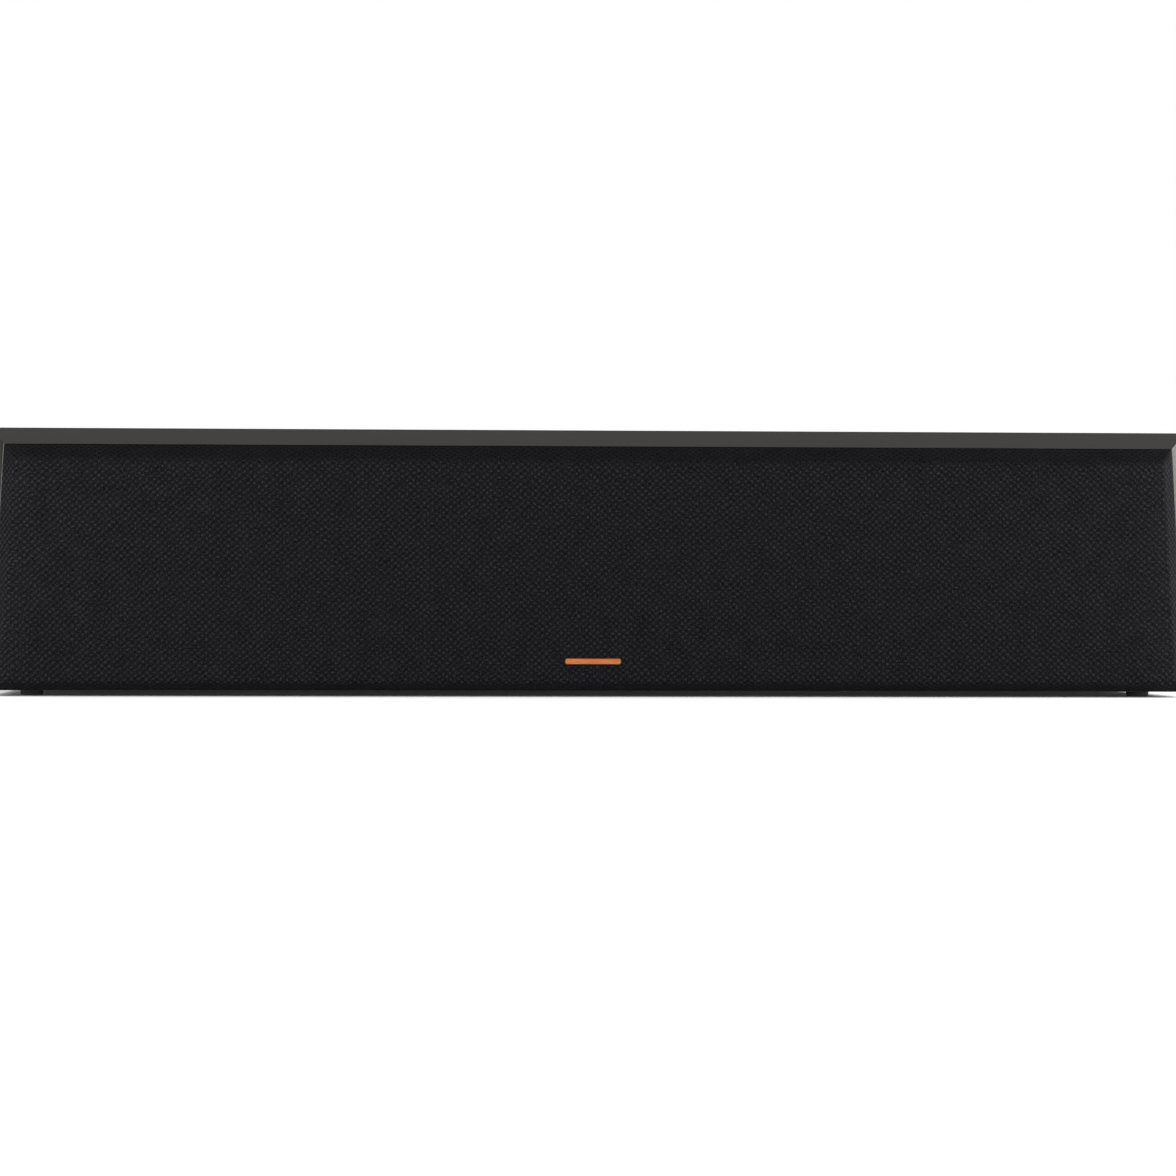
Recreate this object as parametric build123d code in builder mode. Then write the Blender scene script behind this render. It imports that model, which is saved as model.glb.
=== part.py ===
# Center channel speaker: four woofers and a horn tweeter in a low cabinet with a cloth grille.
# Millimetres, +Z up, the front faces -Y, the origin is under the middle of the speaker.
import os
from math import sqrt

from build123d import *

# Cabinet
cabinet_width = 846.0
cabinet_height = 184.0
cabinet_depth = 346.5
panel_thickness = 18.0
baffle_thickness = 25.0
top_bevel_height = 11.4
bevel_depth = 12.0
side_bevel_top = 11.0
side_bevel_bottom = 1.5
edge_radius = 0.8

# Feet
foot_height = 4.0
foot_radius = 8.0
foot_recess = 0.5
foot_from_end = 28.0
foot_from_face = 40.0
foot_edge_radius = 1.2

# Grille
grille_thickness = 12.0
cloth_thickness = 1.0
grille_margin = 0.6
grille_slope_top = 10.0
grille_slope_bottom = 5.6
grille_slope_side = 9.0
frame_edge_radius = 3.0
cloth_edge_radius = 4.0
hem_width = 5.0
window_size = 148.0
window_radius = 30.0
horn_window_width = 140.0
grille_magnet_radius = 4.0
grille_magnet_length = 3.0
magnet_past_window = 0.5
magnet_from_window_top = 11.5
badge_width = 39.0
badge_height = 4.0
badge_thickness = 1.0
badge_above_edge = 21.0
badge_corner = 1.2
badge_chamfer = 0.3

# Woofers
woofer_from_end = 98.0
driver_gap = 8.0
flange_radius = 75.0
flange_thickness = 4.0
trim_thickness = 4.5
trim_bevel = 1.5
basket_mouth_radius = 60.0
basket_wall = 2.6
spider_ledge_depth = 26.5
basket_depth = 44.5
basket_mouth_land = 2.5
window_below_ledge = 1.0
motor_neck_radius = 42.0
cone_radius = 52.0
cone_rim_depth = 5.0
cone_dish = 15.0
cone_thickness = 1.0
cone_rim_width = 3.4
cone_rim_slope = 0.55
cone_foot_slope = 0.32
cap_radius = 20.0
cap_rise = 2.4
cap_edge_slope = 0.26
cone_collar_wall = 1.7
cone_collar_length = 4.5
cone_collar_sink = 0.5
roll_width = 7.0
roll_from_cone = 2.0
lip_width = 1.2
skirt_width = 3.0
rubber_thickness = 0.9
spider_folds = 6
spider_neck_width = 2.6
spider_wave_height = 1.5
spider_sheet = 0.6
spider_edge_gap = 0.6
coil_radius = 13.3
coil_wall = 0.6
coil_winding = 0.8
coil_gap = 0.7
coil_room = 4.0
coil_overhang = 2.5
coil_reach = 13.5
coil_from_cone = 0.6
glue_line = 0.05
top_plate_thickness = 6.0
magnet_radius = 46.0
magnet_bore_radius = 24.0
magnet_thickness = 16.0
yoke_thickness = 6.5
pole_vent_radius = 4.0
woofer_screw_circle = 69.0
ledge_step = 9.6
basket_windows = 6
basket_window_width = 34.0
basket_window_turn = 30
tag_depth = 36.0
tag_size = (16.0, 11.0, 5.0)
tag_sink = 0.8

# Horn tweeter
horn_face = 148.0
horn_face_radius = 14.0
horn_face_thickness = 5.0
horn_wall = 3.0
horn_cut_room = 2.0
horn_screw_inset = 9.0
horn_collar_length = 6.0
horn_collar_inset = 4.0
horn_sections = ((0.0, 126.0, 36.0), (12.0, 92.0, 32.0), (26.0, 58.0, 24.0), (44.0, 29.0, 14.4))
plug_ring_wall = 1.6
plug_ring_height = 3.0
plug_arms = 3
plug_arm_width = 1.8
plug_arm_height = 2.0
plug_radius = 4.6
plug_length = 9.0
plug_skirt = 3.0
plug_foot = 0.4
dome_radius = 12.7
dome_rise = 4.4
dome_edge_slope = 0.7
dome_thickness = 0.8
dome_from_collar = 1.0
dome_edge_inset = 2.0
former_step = 0.4
former_inset = 0.2
former_end = 9.0
tweeter_body_radius = 36.0
tweeter_plate_thickness = 4.0
tweeter_magnet_thickness = 10.0
tweeter_magnet_step = 5.0
tweeter_slot = 1.1
tweeter_pole_gap = 0.9
tweeter_pole_sink = 0.6
rear_chamber_length = 24.0
rear_chamber_inset = 4.0
rear_chamber_wall = 4.0
rear_chamber_draft = 1.0
rear_chamber_end = 2.5

# Rear connections and ports
rear_flange = 3.5
cup_width = 80.0
cup_height = 72.0
cup_depth = 36.0
cup_wall = 2.5
cup_rim = 10.0
cup_draft = 2.0
cup_corner = 6.0
cup_rim_corner = 8.0
cup_inner_corner = 5.0
cup_rim_edge = 1.2
post_spacing_x = 30.0
post_spacing_z = 34.0
post_radius = 3.6
post_base_radius = 7.0
post_base_height = 4.0
post_tail = 12.0
plug_bore_radius = 2.05
plug_bore_length = 19.0
strap_thickness = 1.0
strap_width = 11.0
post_cap_radius = 8.0
post_cap_length = 22.0
post_cap_collar = 4.0
post_cap_gap = 0.2
flute_count = 14
flute_radius = 1.1
flute_offset = 0.5
port_from_end = 188.0
port_radius = 26.0
port_mouth_radius = 38.0
port_wall = 2.5
port_length = 122.0
port_flare = 30.0
port_end_flare = 7.0
port_end_share = 0.6
port_rim = 9.0
port_rim_bevel = 0.8
port_mouth_run = (0.75, 0.66)
port_end_run = (0.7, 0.7)

# Inside
brace_from_horn = 0.5
brace_thickness = 15.0
brace_window = 80.0
brace_window_radius = 14.0
brace_windows = 3
notch_width = 26.0
notch_height = 12.0
pad_margin = 8.0
pad_behind_baffle = 60.0
board_width = 140.0
board_depth = 120.0
board_thickness = 3.0
board_margin = 5.0
board_corner = 4.0
inductor_radius = 19.0
inductor_bore = 9.0
inductor_height = 18.0
inductors = 3
capacitor_radius = 9.0
capacitor_length = 38.0
capacitors = 4
resistor_width = 9.5
resistor_length = 46.0
resistors = 2
pad_thickness = 20.0
wire_radius = 2.0
wire_lane = 8.0
wire_drop = 14.0
wire_bend = 4.5
screw_radius = 1.9
screw_length = 18.0
screw_head_radius = 3.6
screw_head_height = 2.2
clearance = 0.3
slip = 0.1

# Levels that follow from the sizes above
overall_depth = badge_thickness + grille_thickness + cabinet_depth + rear_flange
baffle_y = -overall_depth / 2 + badge_thickness + grille_thickness
baffle_back_y = baffle_y + baffle_thickness
rear_y = baffle_y + cabinet_depth
rear_inner_y = rear_y - panel_thickness
inner_depth = rear_inner_y - baffle_back_y
bottom_z = foot_height
top_z = bottom_z + cabinet_height
floor_z = bottom_z + panel_thickness
ceiling_z = top_z - panel_thickness
face_height = cabinet_height - top_bevel_height
driver_z = bottom_z + face_height / 2
half_width = cabinet_width / 2
flange_y = baffle_y + trim_thickness
woofer_inner_x = horn_face / 2 + driver_gap + flange_radius
woofer_outer_x = half_width - woofer_from_end
woofers_a_side = 1 + int((woofer_outer_x - woofer_inner_x) // (2 * flange_radius + driver_gap))
woofer_pitch = (woofer_outer_x - woofer_inner_x) / max(woofers_a_side - 1, 1)
right_woofers = [woofer_outer_x - woofer_pitch * n for n in reversed(range(woofers_a_side))]
woofer_places = [-x for x in reversed(right_woofers)] + right_woofers


def front_plane(y):
    """Sketch plane across the speaker at depth y, facing the front, with local x, z as drawn."""
    return Plane.XZ.offset(-y)


def rear_facing(x, y, z):
    """Sketch plane around a driver axis, facing the rear."""
    return Plane(origin=(x, y, z), x_dir=(1, 0, 0), z_dir=(0, 1, 0))


def section_plane(x, y, z):
    """Half-section plane of a turned piece: local x is the radius, local y the depth."""
    return Plane(origin=(x, y, z), x_dir=(1, 0, 0), z_dir=(0, 0, 1))


def depth_axis(x, y, z):
    return Axis((x, y, z), (0, 1, 0))


def face_outline(inset, top=0.0, bottom=0.0, side=0.0):
    """Corners of the sloping-sided front face, drawn in by an even inset and by extra slopes."""
    low = bottom_z + inset + bottom
    high = bottom_z + face_height - inset - top
    lean = (side_bevel_top - side_bevel_bottom) / face_height
    low_x = half_width - side_bevel_bottom - lean * (low - bottom_z) - inset - side
    high_x = half_width - side_bevel_bottom - lean * (high - bottom_z) - inset - side
    return [(-low_x, low), (low_x, low), (high_x, high), (-high_x, high)]


os.makedirs("parts", exist_ok=True)

# Cabinet wrap: four boards that meet in mitres, their front ends glued to the baffle.
wrap_length = rear_y - baffle_back_y
inner_half = half_width - panel_thickness

with BuildPart() as top_panel:
    with BuildSketch(front_plane(rear_y)):
        Polygon(
            (-half_width, top_z),
            (-inner_half, ceiling_z),
            (inner_half, ceiling_z),
            (half_width, top_z),
            align=None,
        )
    extrude(amount=wrap_length)
top_panel.part.label = "top_panel"
export_step(top_panel.part, "parts/top_panel.step")

foot_places = [
    (side * (half_width - foot_from_end), y)
    for side in (-1, 1)
    for y in (baffle_y + foot_from_face, rear_y - foot_from_face)
]

with BuildPart() as bottom_panel:
    with BuildSketch(front_plane(rear_y)):
        Polygon(
            (-half_width, bottom_z),
            (half_width, bottom_z),
            (inner_half, floor_z),
            (-inner_half, floor_z),
            align=None,
        )
    extrude(amount=wrap_length)
    with BuildSketch(Plane.XY.offset(bottom_z)):
        with Locations(*foot_places):
            Circle(foot_radius + clearance)
    extrude(amount=foot_recess, mode=Mode.SUBTRACT)
bottom_panel.part.label = "bottom_panel"
export_step(bottom_panel.part, "parts/bottom_panel.step")

for side, label in ((-1, "left_panel"), (1, "right_panel")):
    with BuildPart() as side_panel:
        with BuildSketch(front_plane(rear_y)):
            Polygon(
                (side * half_width, bottom_z),
                (side * half_width, top_z),
                (side * inner_half, ceiling_z),
                (side * inner_half, floor_z),
                align=None,
            )
        extrude(amount=wrap_length)
    side_panel.part.label = label
    export_step(side_panel.part, f"parts/{label}.step")

# Rear panel, set inside the wrap, cut for the two ports and the terminal cup.
port_x = half_width - port_from_end
port_places = (-port_x, port_x)
port_hole_radius = port_mouth_radius + port_wall + clearance
cup_hole_width = cup_width + 2 * clearance
cup_hole_height = cup_height + 2 * clearance
cup_screw_x = (cup_width + cup_rim) / 2
cup_screw_z = (cup_height + cup_rim) / 2
cup_screws = [
    (sx * cup_screw_x, driver_z + sz * cup_screw_z) for sx in (-1, 1) for sz in (-1, 1)
]
screw_hole_radius = screw_radius + slip

with BuildPart() as rear_panel:
    with BuildSketch(front_plane(rear_y)):
        with Locations((0, (floor_z + ceiling_z) / 2)):
            Rectangle(2 * inner_half, ceiling_z - floor_z)
        with Locations(*[(x, driver_z) for x in port_places]):
            Circle(port_hole_radius, mode=Mode.SUBTRACT)
        with Locations((0, driver_z)):
            RectangleRounded(cup_hole_width, cup_hole_height, cup_corner, mode=Mode.SUBTRACT)
        with Locations(*cup_screws):
            Circle(screw_hole_radius, mode=Mode.SUBTRACT)
    extrude(amount=panel_thickness)
rear_panel.part.label = "rear_panel"
export_step(rear_panel.part, "parts/rear_panel.step")

# Front baffle: one thick board with a bevel along its top and tapering bevels down its ends.
grille_magnet_x = [x - woofer_pitch / 2 for x in right_woofers[1:]]
grille_magnet_x.append(woofer_outer_x + window_size / 2 + magnet_past_window)
grille_magnet_z = window_size / 2 - magnet_from_window_top
magnet_places = [
    (side * x, driver_z + up * grille_magnet_z)
    for side in (-1, 1)
    for x in grille_magnet_x
    for up in (-1, 1)
]
horn_cut = horn_sections[0][1] + 2 * horn_cut_room
horn_cut_radius = horn_sections[0][2] + horn_cut_room
horn_screw_offset = horn_face / 2 - horn_screw_inset
horn_screws = [
    (sx * horn_screw_offset, driver_z + sz * horn_screw_offset)
    for sx in (-1, 1)
    for sz in (-1, 1)
]
woofer_screw_offset = woofer_screw_circle / sqrt(2)
woofer_screws = [
    (x + sx * woofer_screw_offset, driver_z + sz * woofer_screw_offset)
    for x in woofer_places
    for sx in (-1, 1)
    for sz in (-1, 1)
]
top_bevel = Plane(
    origin=(0, baffle_y, top_z - top_bevel_height),
    x_dir=(1, 0, 0),
    z_dir=(0, -top_bevel_height, bevel_depth),
)
baffle_middle = (baffle_y + baffle_back_y) / 2

with BuildPart() as front_baffle:
    with Locations((0, baffle_middle, (bottom_z + top_z) / 2)):
        Box(cabinet_width, baffle_thickness, cabinet_height)
    split(bisect_by=top_bevel, keep=Keep.BOTTOM)
    for side in (-1, 1):
        low = Vector(side * (half_width - side_bevel_bottom), baffle_y, bottom_z)
        high = Vector(side * (half_width - side_bevel_top), baffle_y, top_z - top_bevel_height)
        back = Vector(side * half_width, baffle_y + bevel_depth, top_z)
        outward = (high - low).cross(back - low) * side
        split(bisect_by=Plane(origin=low, x_dir=high - low, z_dir=outward), keep=Keep.TOP)
    bevel_back_y = baffle_y + bevel_depth - edge_radius
    bevel_edges = front_baffle.edges().filter_by(lambda edge: edge.center().Y < bevel_back_y)
    fillet(bevel_edges, edge_radius)
    with BuildSketch(front_plane(baffle_y)):
        with Locations(*[(x, driver_z) for x in woofer_places]):
            Circle(flange_radius + clearance)
    extrude(amount=-(trim_thickness + flange_thickness), mode=Mode.SUBTRACT)
    with BuildSketch(front_plane(baffle_y)):
        with Locations(*[(x, driver_z) for x in woofer_places]):
            Circle(basket_mouth_radius + clearance)
        with Locations((0, driver_z)):
            RectangleRounded(horn_cut, horn_cut, horn_cut_radius)
    extrude(amount=-baffle_thickness, mode=Mode.SUBTRACT)
    with BuildSketch(front_plane(baffle_y)):
        with Locations((0, driver_z)):
            RectangleRounded(horn_face + 2 * clearance, horn_face + 2 * clearance, horn_face_radius)
    extrude(amount=-horn_face_thickness, mode=Mode.SUBTRACT)
    with BuildSketch(front_plane(baffle_y)):
        with Locations(*magnet_places):
            Circle(grille_magnet_radius + slip)
    extrude(amount=-grille_magnet_length, mode=Mode.SUBTRACT)
    with BuildSketch(front_plane(baffle_y)):
        with Locations(*(woofer_screws + horn_screws)):
            Circle(screw_hole_radius)
    extrude(amount=-baffle_thickness, mode=Mode.SUBTRACT)
front_baffle.part.label = "front_baffle"
export_step(front_baffle.part, "parts/front_baffle.step")

# Two braces tie top, bottom, baffle and rear panel together, with windows and a wire notch.
brace_x = horn_face / 2 + brace_from_horn + brace_thickness / 2
window_pitch = inner_depth / brace_windows
tag_y = flange_y + tag_depth

with BuildPart() as cabinet_braces:
    for side in (-1, 1):
        with BuildSketch(Plane.YZ.offset(side * brace_x - brace_thickness / 2)):
            with Locations(((baffle_back_y + rear_inner_y) / 2, (floor_z + ceiling_z) / 2)):
                Rectangle(inner_depth, ceiling_z - floor_z)
                with GridLocations(window_pitch, 1, brace_windows, 1):
                    RectangleRounded(
                        brace_window, brace_window, brace_window_radius, mode=Mode.SUBTRACT
                    )
            with Locations((tag_y, floor_z)):
                Rectangle(notch_width, 2 * notch_height, mode=Mode.SUBTRACT)
        extrude(amount=brace_thickness)
cabinet_braces.part.label = "cabinet_braces"
export_step(cabinet_braces.part, "parts/cabinet_braces.step")

# Damping pads glued under the top panel, one in each end of the cabinet.
pad_inner_x = brace_x + brace_thickness / 2 + pad_margin
pad_outer_x = inner_half - pad_margin
pad_front_y = baffle_back_y + pad_behind_baffle
pad_back_y = rear_inner_y - pad_margin
pad_middle_x = (pad_inner_x + pad_outer_x) / 2
pad_middle_y = (pad_front_y + pad_back_y) / 2

with BuildPart() as damping_pads:
    with BuildSketch(Plane.XY.offset(ceiling_z)):
        with Locations((-pad_middle_x, pad_middle_y), (pad_middle_x, pad_middle_y)):
            RectangleRounded(pad_outer_x - pad_inner_x, pad_back_y - pad_front_y, pad_margin)
    extrude(amount=-pad_thickness)
damping_pads.part.label = "damping_pads"
export_step(damping_pads.part, "parts/damping_pads.step")

# Rubber feet, stuck in shallow recesses under the bottom panel.
with BuildPart() as rubber_feet:
    with BuildSketch(Plane.XY):
        with Locations(*foot_places):
            Circle(foot_radius)
    extrude(amount=foot_height + foot_recess)
    fillet(rubber_feet.edges().group_by(Axis.Z)[0], foot_edge_radius)
rubber_feet.part.label = "rubber_feet"
export_step(rubber_feet.part, "parts/rubber_feet.step")

# Grille frame: a moulded lattice with sloping edges and a window before each driver.
grille_back_y = baffle_y
cloth_front_y = baffle_y - grille_thickness
frame_front_y = cloth_front_y + cloth_thickness
hem_y = grille_back_y - cloth_thickness
frame_inset = grille_margin + cloth_thickness
frame_front = face_outline(frame_inset, grille_slope_top, grille_slope_bottom, grille_slope_side)

with BuildPart() as grille_frame:
    with BuildSketch(front_plane(hem_y)):
        Polygon(*face_outline(frame_inset), align=None)
    with BuildSketch(front_plane(frame_front_y)):
        Polygon(*frame_front, align=None)
    loft(ruled=True)
    fillet(grille_frame.faces().sort_by(Axis.Y)[0].edges(), frame_edge_radius)
    with BuildSketch(front_plane(grille_back_y)):
        Polygon(*face_outline(frame_inset + hem_width), align=None)
    extrude(amount=cloth_thickness)
    with BuildSketch(front_plane(grille_back_y)):
        with Locations(*[(x, driver_z) for x in woofer_places]):
            RectangleRounded(window_size, window_size, window_radius)
        with Locations((0, driver_z)):
            RectangleRounded(horn_window_width, window_size, window_radius)
    extrude(amount=grille_thickness, mode=Mode.SUBTRACT)
    with BuildSketch(front_plane(grille_back_y)):
        with Locations(*magnet_places):
            Circle(grille_magnet_radius + slip)
    extrude(amount=grille_magnet_length, mode=Mode.SUBTRACT)
grille_frame.part.label = "grille_frame"
export_step(grille_frame.part, "parts/grille_frame.step")

# Grille cloth: stretched over the frame and glued down behind its edge.
cloth_front = face_outline(grille_margin, grille_slope_top, grille_slope_bottom, grille_slope_side)
badge_z = bottom_z + badge_above_edge

with BuildPart() as grille_cloth:
    with BuildSketch(front_plane(grille_back_y)):
        Polygon(*face_outline(grille_margin), align=None)
    with BuildSketch(front_plane(cloth_front_y)):
        Polygon(*cloth_front, align=None)
    loft(ruled=True)
    fillet(grille_cloth.faces().sort_by(Axis.Y)[0].edges(), cloth_edge_radius)
    with BuildSketch(front_plane(hem_y)):
        Polygon(*face_outline(frame_inset), align=None)
    with BuildSketch(front_plane(frame_front_y)):
        Polygon(*frame_front, align=None)
    loft(ruled=True, mode=Mode.SUBTRACT)
    with BuildSketch(front_plane(grille_back_y)):
        Polygon(*face_outline(frame_inset + hem_width), align=None)
    extrude(amount=cloth_thickness, mode=Mode.SUBTRACT)
grille_cloth.part.label = "grille_cloth"
export_step(grille_cloth.part, "parts/grille_cloth.step")

# Plain metal bar pinned on the cloth low in the middle.
with BuildPart() as grille_badge:
    with BuildSketch(front_plane(cloth_front_y)):
        with Locations((0, badge_z)):
            RectangleRounded(badge_width, badge_height, badge_corner)
    extrude(amount=badge_thickness)
    chamfer(grille_badge.faces().sort_by(Axis.Y)[0].edges(), badge_chamfer)
grille_badge.part.label = "grille_badge"
export_step(grille_badge.part, "parts/grille_badge.step")

# Magnets that hold the grille: one set in its frame, one set in the baffle.
for label, amount in (("grille_magnets", grille_magnet_length), ("baffle_magnets", -grille_magnet_length)):
    with BuildPart() as magnets:
        with BuildSketch(front_plane(baffle_y)):
            with Locations(*magnet_places):
                Circle(grille_magnet_radius)
        extrude(amount=amount)
    magnets.part.label = label
    export_step(magnets.part, f"parts/{label}.step")

# Woofer profiles, as radius and depth behind the front of the basket flange.
ledge_outer = basket_mouth_radius - basket_wall - ledge_step
ledge_inner = motor_neck_radius - basket_wall
neck_bore = coil_radius + coil_winding + coil_room
window_front = flange_thickness + basket_wall
window_back = spider_ledge_depth - window_below_ledge
basket_profile = [
    (basket_mouth_radius - basket_wall, 0),
    (flange_radius, 0),
    (flange_radius, flange_thickness),
    (basket_mouth_radius, flange_thickness),
    (ledge_outer + basket_wall, spider_ledge_depth + basket_wall),
    (motor_neck_radius, spider_ledge_depth + basket_wall),
    (motor_neck_radius, basket_depth),
    (neck_bore, basket_depth),
    (neck_bore, basket_depth - basket_wall),
    (ledge_inner, basket_depth - basket_wall),
    (ledge_inner, spider_ledge_depth),
    (ledge_outer, spider_ledge_depth),
    (basket_mouth_radius - basket_wall, basket_mouth_land),
]
roll_inner = cone_radius + roll_from_cone
roll_outer = roll_inner + roll_width
lip_outer = roll_outer + lip_width
trim_inner = lip_outer + clearance
trim_profile = [
    (trim_inner, 0),
    (trim_inner, -trim_thickness + trim_bevel),
    (trim_inner + trim_bevel, -trim_thickness),
    (flange_radius, -trim_thickness),
    (flange_radius, 0),
    (woofer_screw_circle + screw_head_radius + clearance, 0),
    (woofer_screw_circle + screw_head_radius + clearance, -screw_head_height - clearance),
    (woofer_screw_circle - screw_head_radius - clearance, -screw_head_height - clearance),
    (woofer_screw_circle - screw_head_radius - clearance, 0),
]
cap_depth = cone_rim_depth + cone_dish
cap_edge_depth = cap_depth - cap_rise
cone_rim = cone_radius - cone_rim_width
coil_top = cap_depth + cone_thickness + coil_from_cone
coil_bottom = basket_depth + coil_reach
winding_top = basket_depth - coil_overhang
winding_bottom = basket_depth + top_plate_thickness + coil_overhang
plate_bore = coil_radius + coil_winding + coil_gap
pole_radius = coil_radius - coil_wall - coil_gap
magnet_front = basket_depth + top_plate_thickness
yoke_front = magnet_front + magnet_thickness
woofer_depth = yoke_front + yoke_thickness
spider_start = coil_radius + slip
spider_neck = spider_start + spider_neck_width
spider_foot = ledge_inner - spider_edge_gap
spider_edge = ledge_outer - spider_edge_gap
spider_span = (spider_foot - spider_neck) / spider_folds
spider_wave = [(spider_start, 0.0), (spider_neck, 0.0)]
for fold in range(1, spider_folds):
    crest = spider_wave_height if fold % 2 else -spider_wave_height
    spider_wave.append((spider_neck + fold * spider_span, crest))
spider_wave += [(spider_foot, 0.0), (spider_edge, 0.0)]
spider_back = [(r, spider_ledge_depth + d) for r, d in spider_wave]
spider_front = [(r, d - spider_sheet) for r, d in reversed(spider_back)]

for index, x in enumerate(woofer_places, start=1):
    seat = section_plane(x, flange_y, driver_z)
    axis = depth_axis(x, flange_y, driver_z)

    # Basket: cast frame with six windows, screw holes and a terminal strip on its neck.
    with BuildPart() as basket:
        with BuildSketch(seat):
            Polygon(*basket_profile, align=None)
        revolve(axis=axis)
        with BuildSketch(rear_facing(x, flange_y + window_front, driver_z)):
            with PolarLocations(basket_mouth_radius, basket_windows, start_angle=basket_window_turn):
                Rectangle(2 * (basket_mouth_radius - ledge_outer), basket_window_width)
        extrude(amount=window_back - window_front, mode=Mode.SUBTRACT)
        with BuildSketch(rear_facing(x, flange_y, driver_z)):
            with GridLocations(2 * woofer_screw_offset, 2 * woofer_screw_offset, 2, 2):
                Circle(screw_radius + clearance)
        extrude(amount=flange_thickness, mode=Mode.SUBTRACT)
        with Locations((x, tag_y, driver_z - motor_neck_radius - tag_size[2] / 2 + tag_sink)):
            Box(*tag_size)
    basket.part.label = f"woofer_{index}_basket"
    export_step(basket.part, f"parts/woofer_{index}_basket.step")

    # Surround: half roll of rubber with an outer lip on the flange and a skirt to the cone.
    with BuildPart() as surround:
        with BuildSketch(seat):
            with BuildLine():
                ThreePointArc(
                    (roll_inner, -rubber_thickness),
                    (roll_inner + roll_width / 2, -rubber_thickness - roll_width / 2),
                    (roll_outer, -rubber_thickness),
                )
                Polyline(
                    (roll_outer, -rubber_thickness),
                    (lip_outer, -rubber_thickness),
                    (lip_outer, 0),
                    (roll_outer - rubber_thickness, 0),
                    (roll_outer - rubber_thickness, -rubber_thickness),
                )
                ThreePointArc(
                    (roll_outer - rubber_thickness, -rubber_thickness),
                    (roll_inner + roll_width / 2, -roll_width / 2),
                    (roll_inner + rubber_thickness, -rubber_thickness),
                )
                Polyline(
                    (roll_inner + rubber_thickness, -rubber_thickness),
                    (cone_radius + rubber_thickness, cone_rim_depth),
                    (cone_radius - skirt_width, cone_rim_depth),
                    (cone_radius - skirt_width, cone_rim_depth - rubber_thickness),
                    (cone_radius, cone_rim_depth - rubber_thickness),
                    (roll_inner, -rubber_thickness),
                )
            make_face()
        revolve(axis=axis)
    surround.part.label = f"woofer_{index}_surround"
    export_step(surround.part, f"parts/woofer_{index}_surround.step")

    # Cone: spun copper-coloured dish in one sheet, with a flat rim and a collar for the coil.
    with BuildPart() as cone:
        with BuildSketch(seat):
            with BuildLine():
                Spline(
                    (0, cap_depth),
                    (cap_radius, cap_edge_depth),
                    tangents=((1, 0), (1, -cap_edge_slope)),
                )
                Spline(
                    (cap_radius, cap_edge_depth),
                    (cone_rim, cone_rim_depth),
                    tangents=((1, -cone_foot_slope), (1, -cone_rim_slope)),
                )
                Polyline(
                    (cone_rim, cone_rim_depth),
                    (cone_radius, cone_rim_depth),
                    (cone_radius, cone_rim_depth + cone_thickness),
                    (cone_rim, cone_rim_depth + cone_thickness),
                )
                Spline(
                    (cone_rim, cone_rim_depth + cone_thickness),
                    (cap_radius, cap_edge_depth + cone_thickness),
                    tangents=((-1, cone_rim_slope), (-1, cone_foot_slope)),
                )
                Spline(
                    (cap_radius, cap_edge_depth + cone_thickness),
                    (0, cap_depth + cone_thickness),
                    tangents=((-1, cap_edge_slope), (-1, 0)),
                )
                Line((0, cap_depth + cone_thickness), (0, cap_depth))
            make_face()
        revolve(axis=axis)
        with BuildSketch(rear_facing(x, flange_y + cap_depth - cone_collar_sink, driver_z)):
            Circle(coil_radius + cone_collar_wall)
            Circle(coil_radius + glue_line, mode=Mode.SUBTRACT)
        extrude(amount=cone_collar_length)
    cone.part.label = f"woofer_{index}_cone"
    export_step(cone.part, f"parts/woofer_{index}_cone.step")

    # Spider: corrugated cloth ring between the coil former and the basket ledge.
    with BuildPart() as spider:
        with BuildSketch(seat):
            Polygon(*spider_back, *spider_front, align=None)
        revolve(axis=axis)
    spider.part.label = f"woofer_{index}_spider"
    export_step(spider.part, f"parts/woofer_{index}_spider.step")

    # Voice coil: thin former with its winding in the magnet's air slot.
    with BuildPart() as voice_coil:
        with BuildSketch(seat):
            Polygon(
                (coil_radius - coil_wall, coil_top),
                (coil_radius, coil_top),
                (coil_radius, winding_top),
                (coil_radius + coil_winding, winding_top),
                (coil_radius + coil_winding, winding_bottom),
                (coil_radius, winding_bottom),
                (coil_radius, coil_bottom),
                (coil_radius - coil_wall, coil_bottom),
                align=None,
            )
        revolve(axis=axis)
    voice_coil.part.label = f"woofer_{index}_voice_coil"
    export_step(voice_coil.part, f"parts/woofer_{index}_voice_coil.step")

# Woofer motors: steel top plate, ring magnet, steel yoke with a vented pole.
with BuildPart() as woofer_top_plates:
    with BuildSketch(rear_facing(0, flange_y + basket_depth, driver_z)):
        with Locations(*[(x, 0) for x in woofer_places]):
            Circle(motor_neck_radius)
            Circle(plate_bore, mode=Mode.SUBTRACT)
    extrude(amount=top_plate_thickness)
woofer_top_plates.part.label = "woofer_top_plates"
export_step(woofer_top_plates.part, "parts/woofer_top_plates.step")

with BuildPart() as woofer_magnets:
    with BuildSketch(rear_facing(0, flange_y + magnet_front, driver_z)):
        with Locations(*[(x, 0) for x in woofer_places]):
            Circle(magnet_radius)
            Circle(magnet_bore_radius, mode=Mode.SUBTRACT)
    extrude(amount=magnet_thickness)
woofer_magnets.part.label = "woofer_magnets"
export_step(woofer_magnets.part, "parts/woofer_magnets.step")

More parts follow.
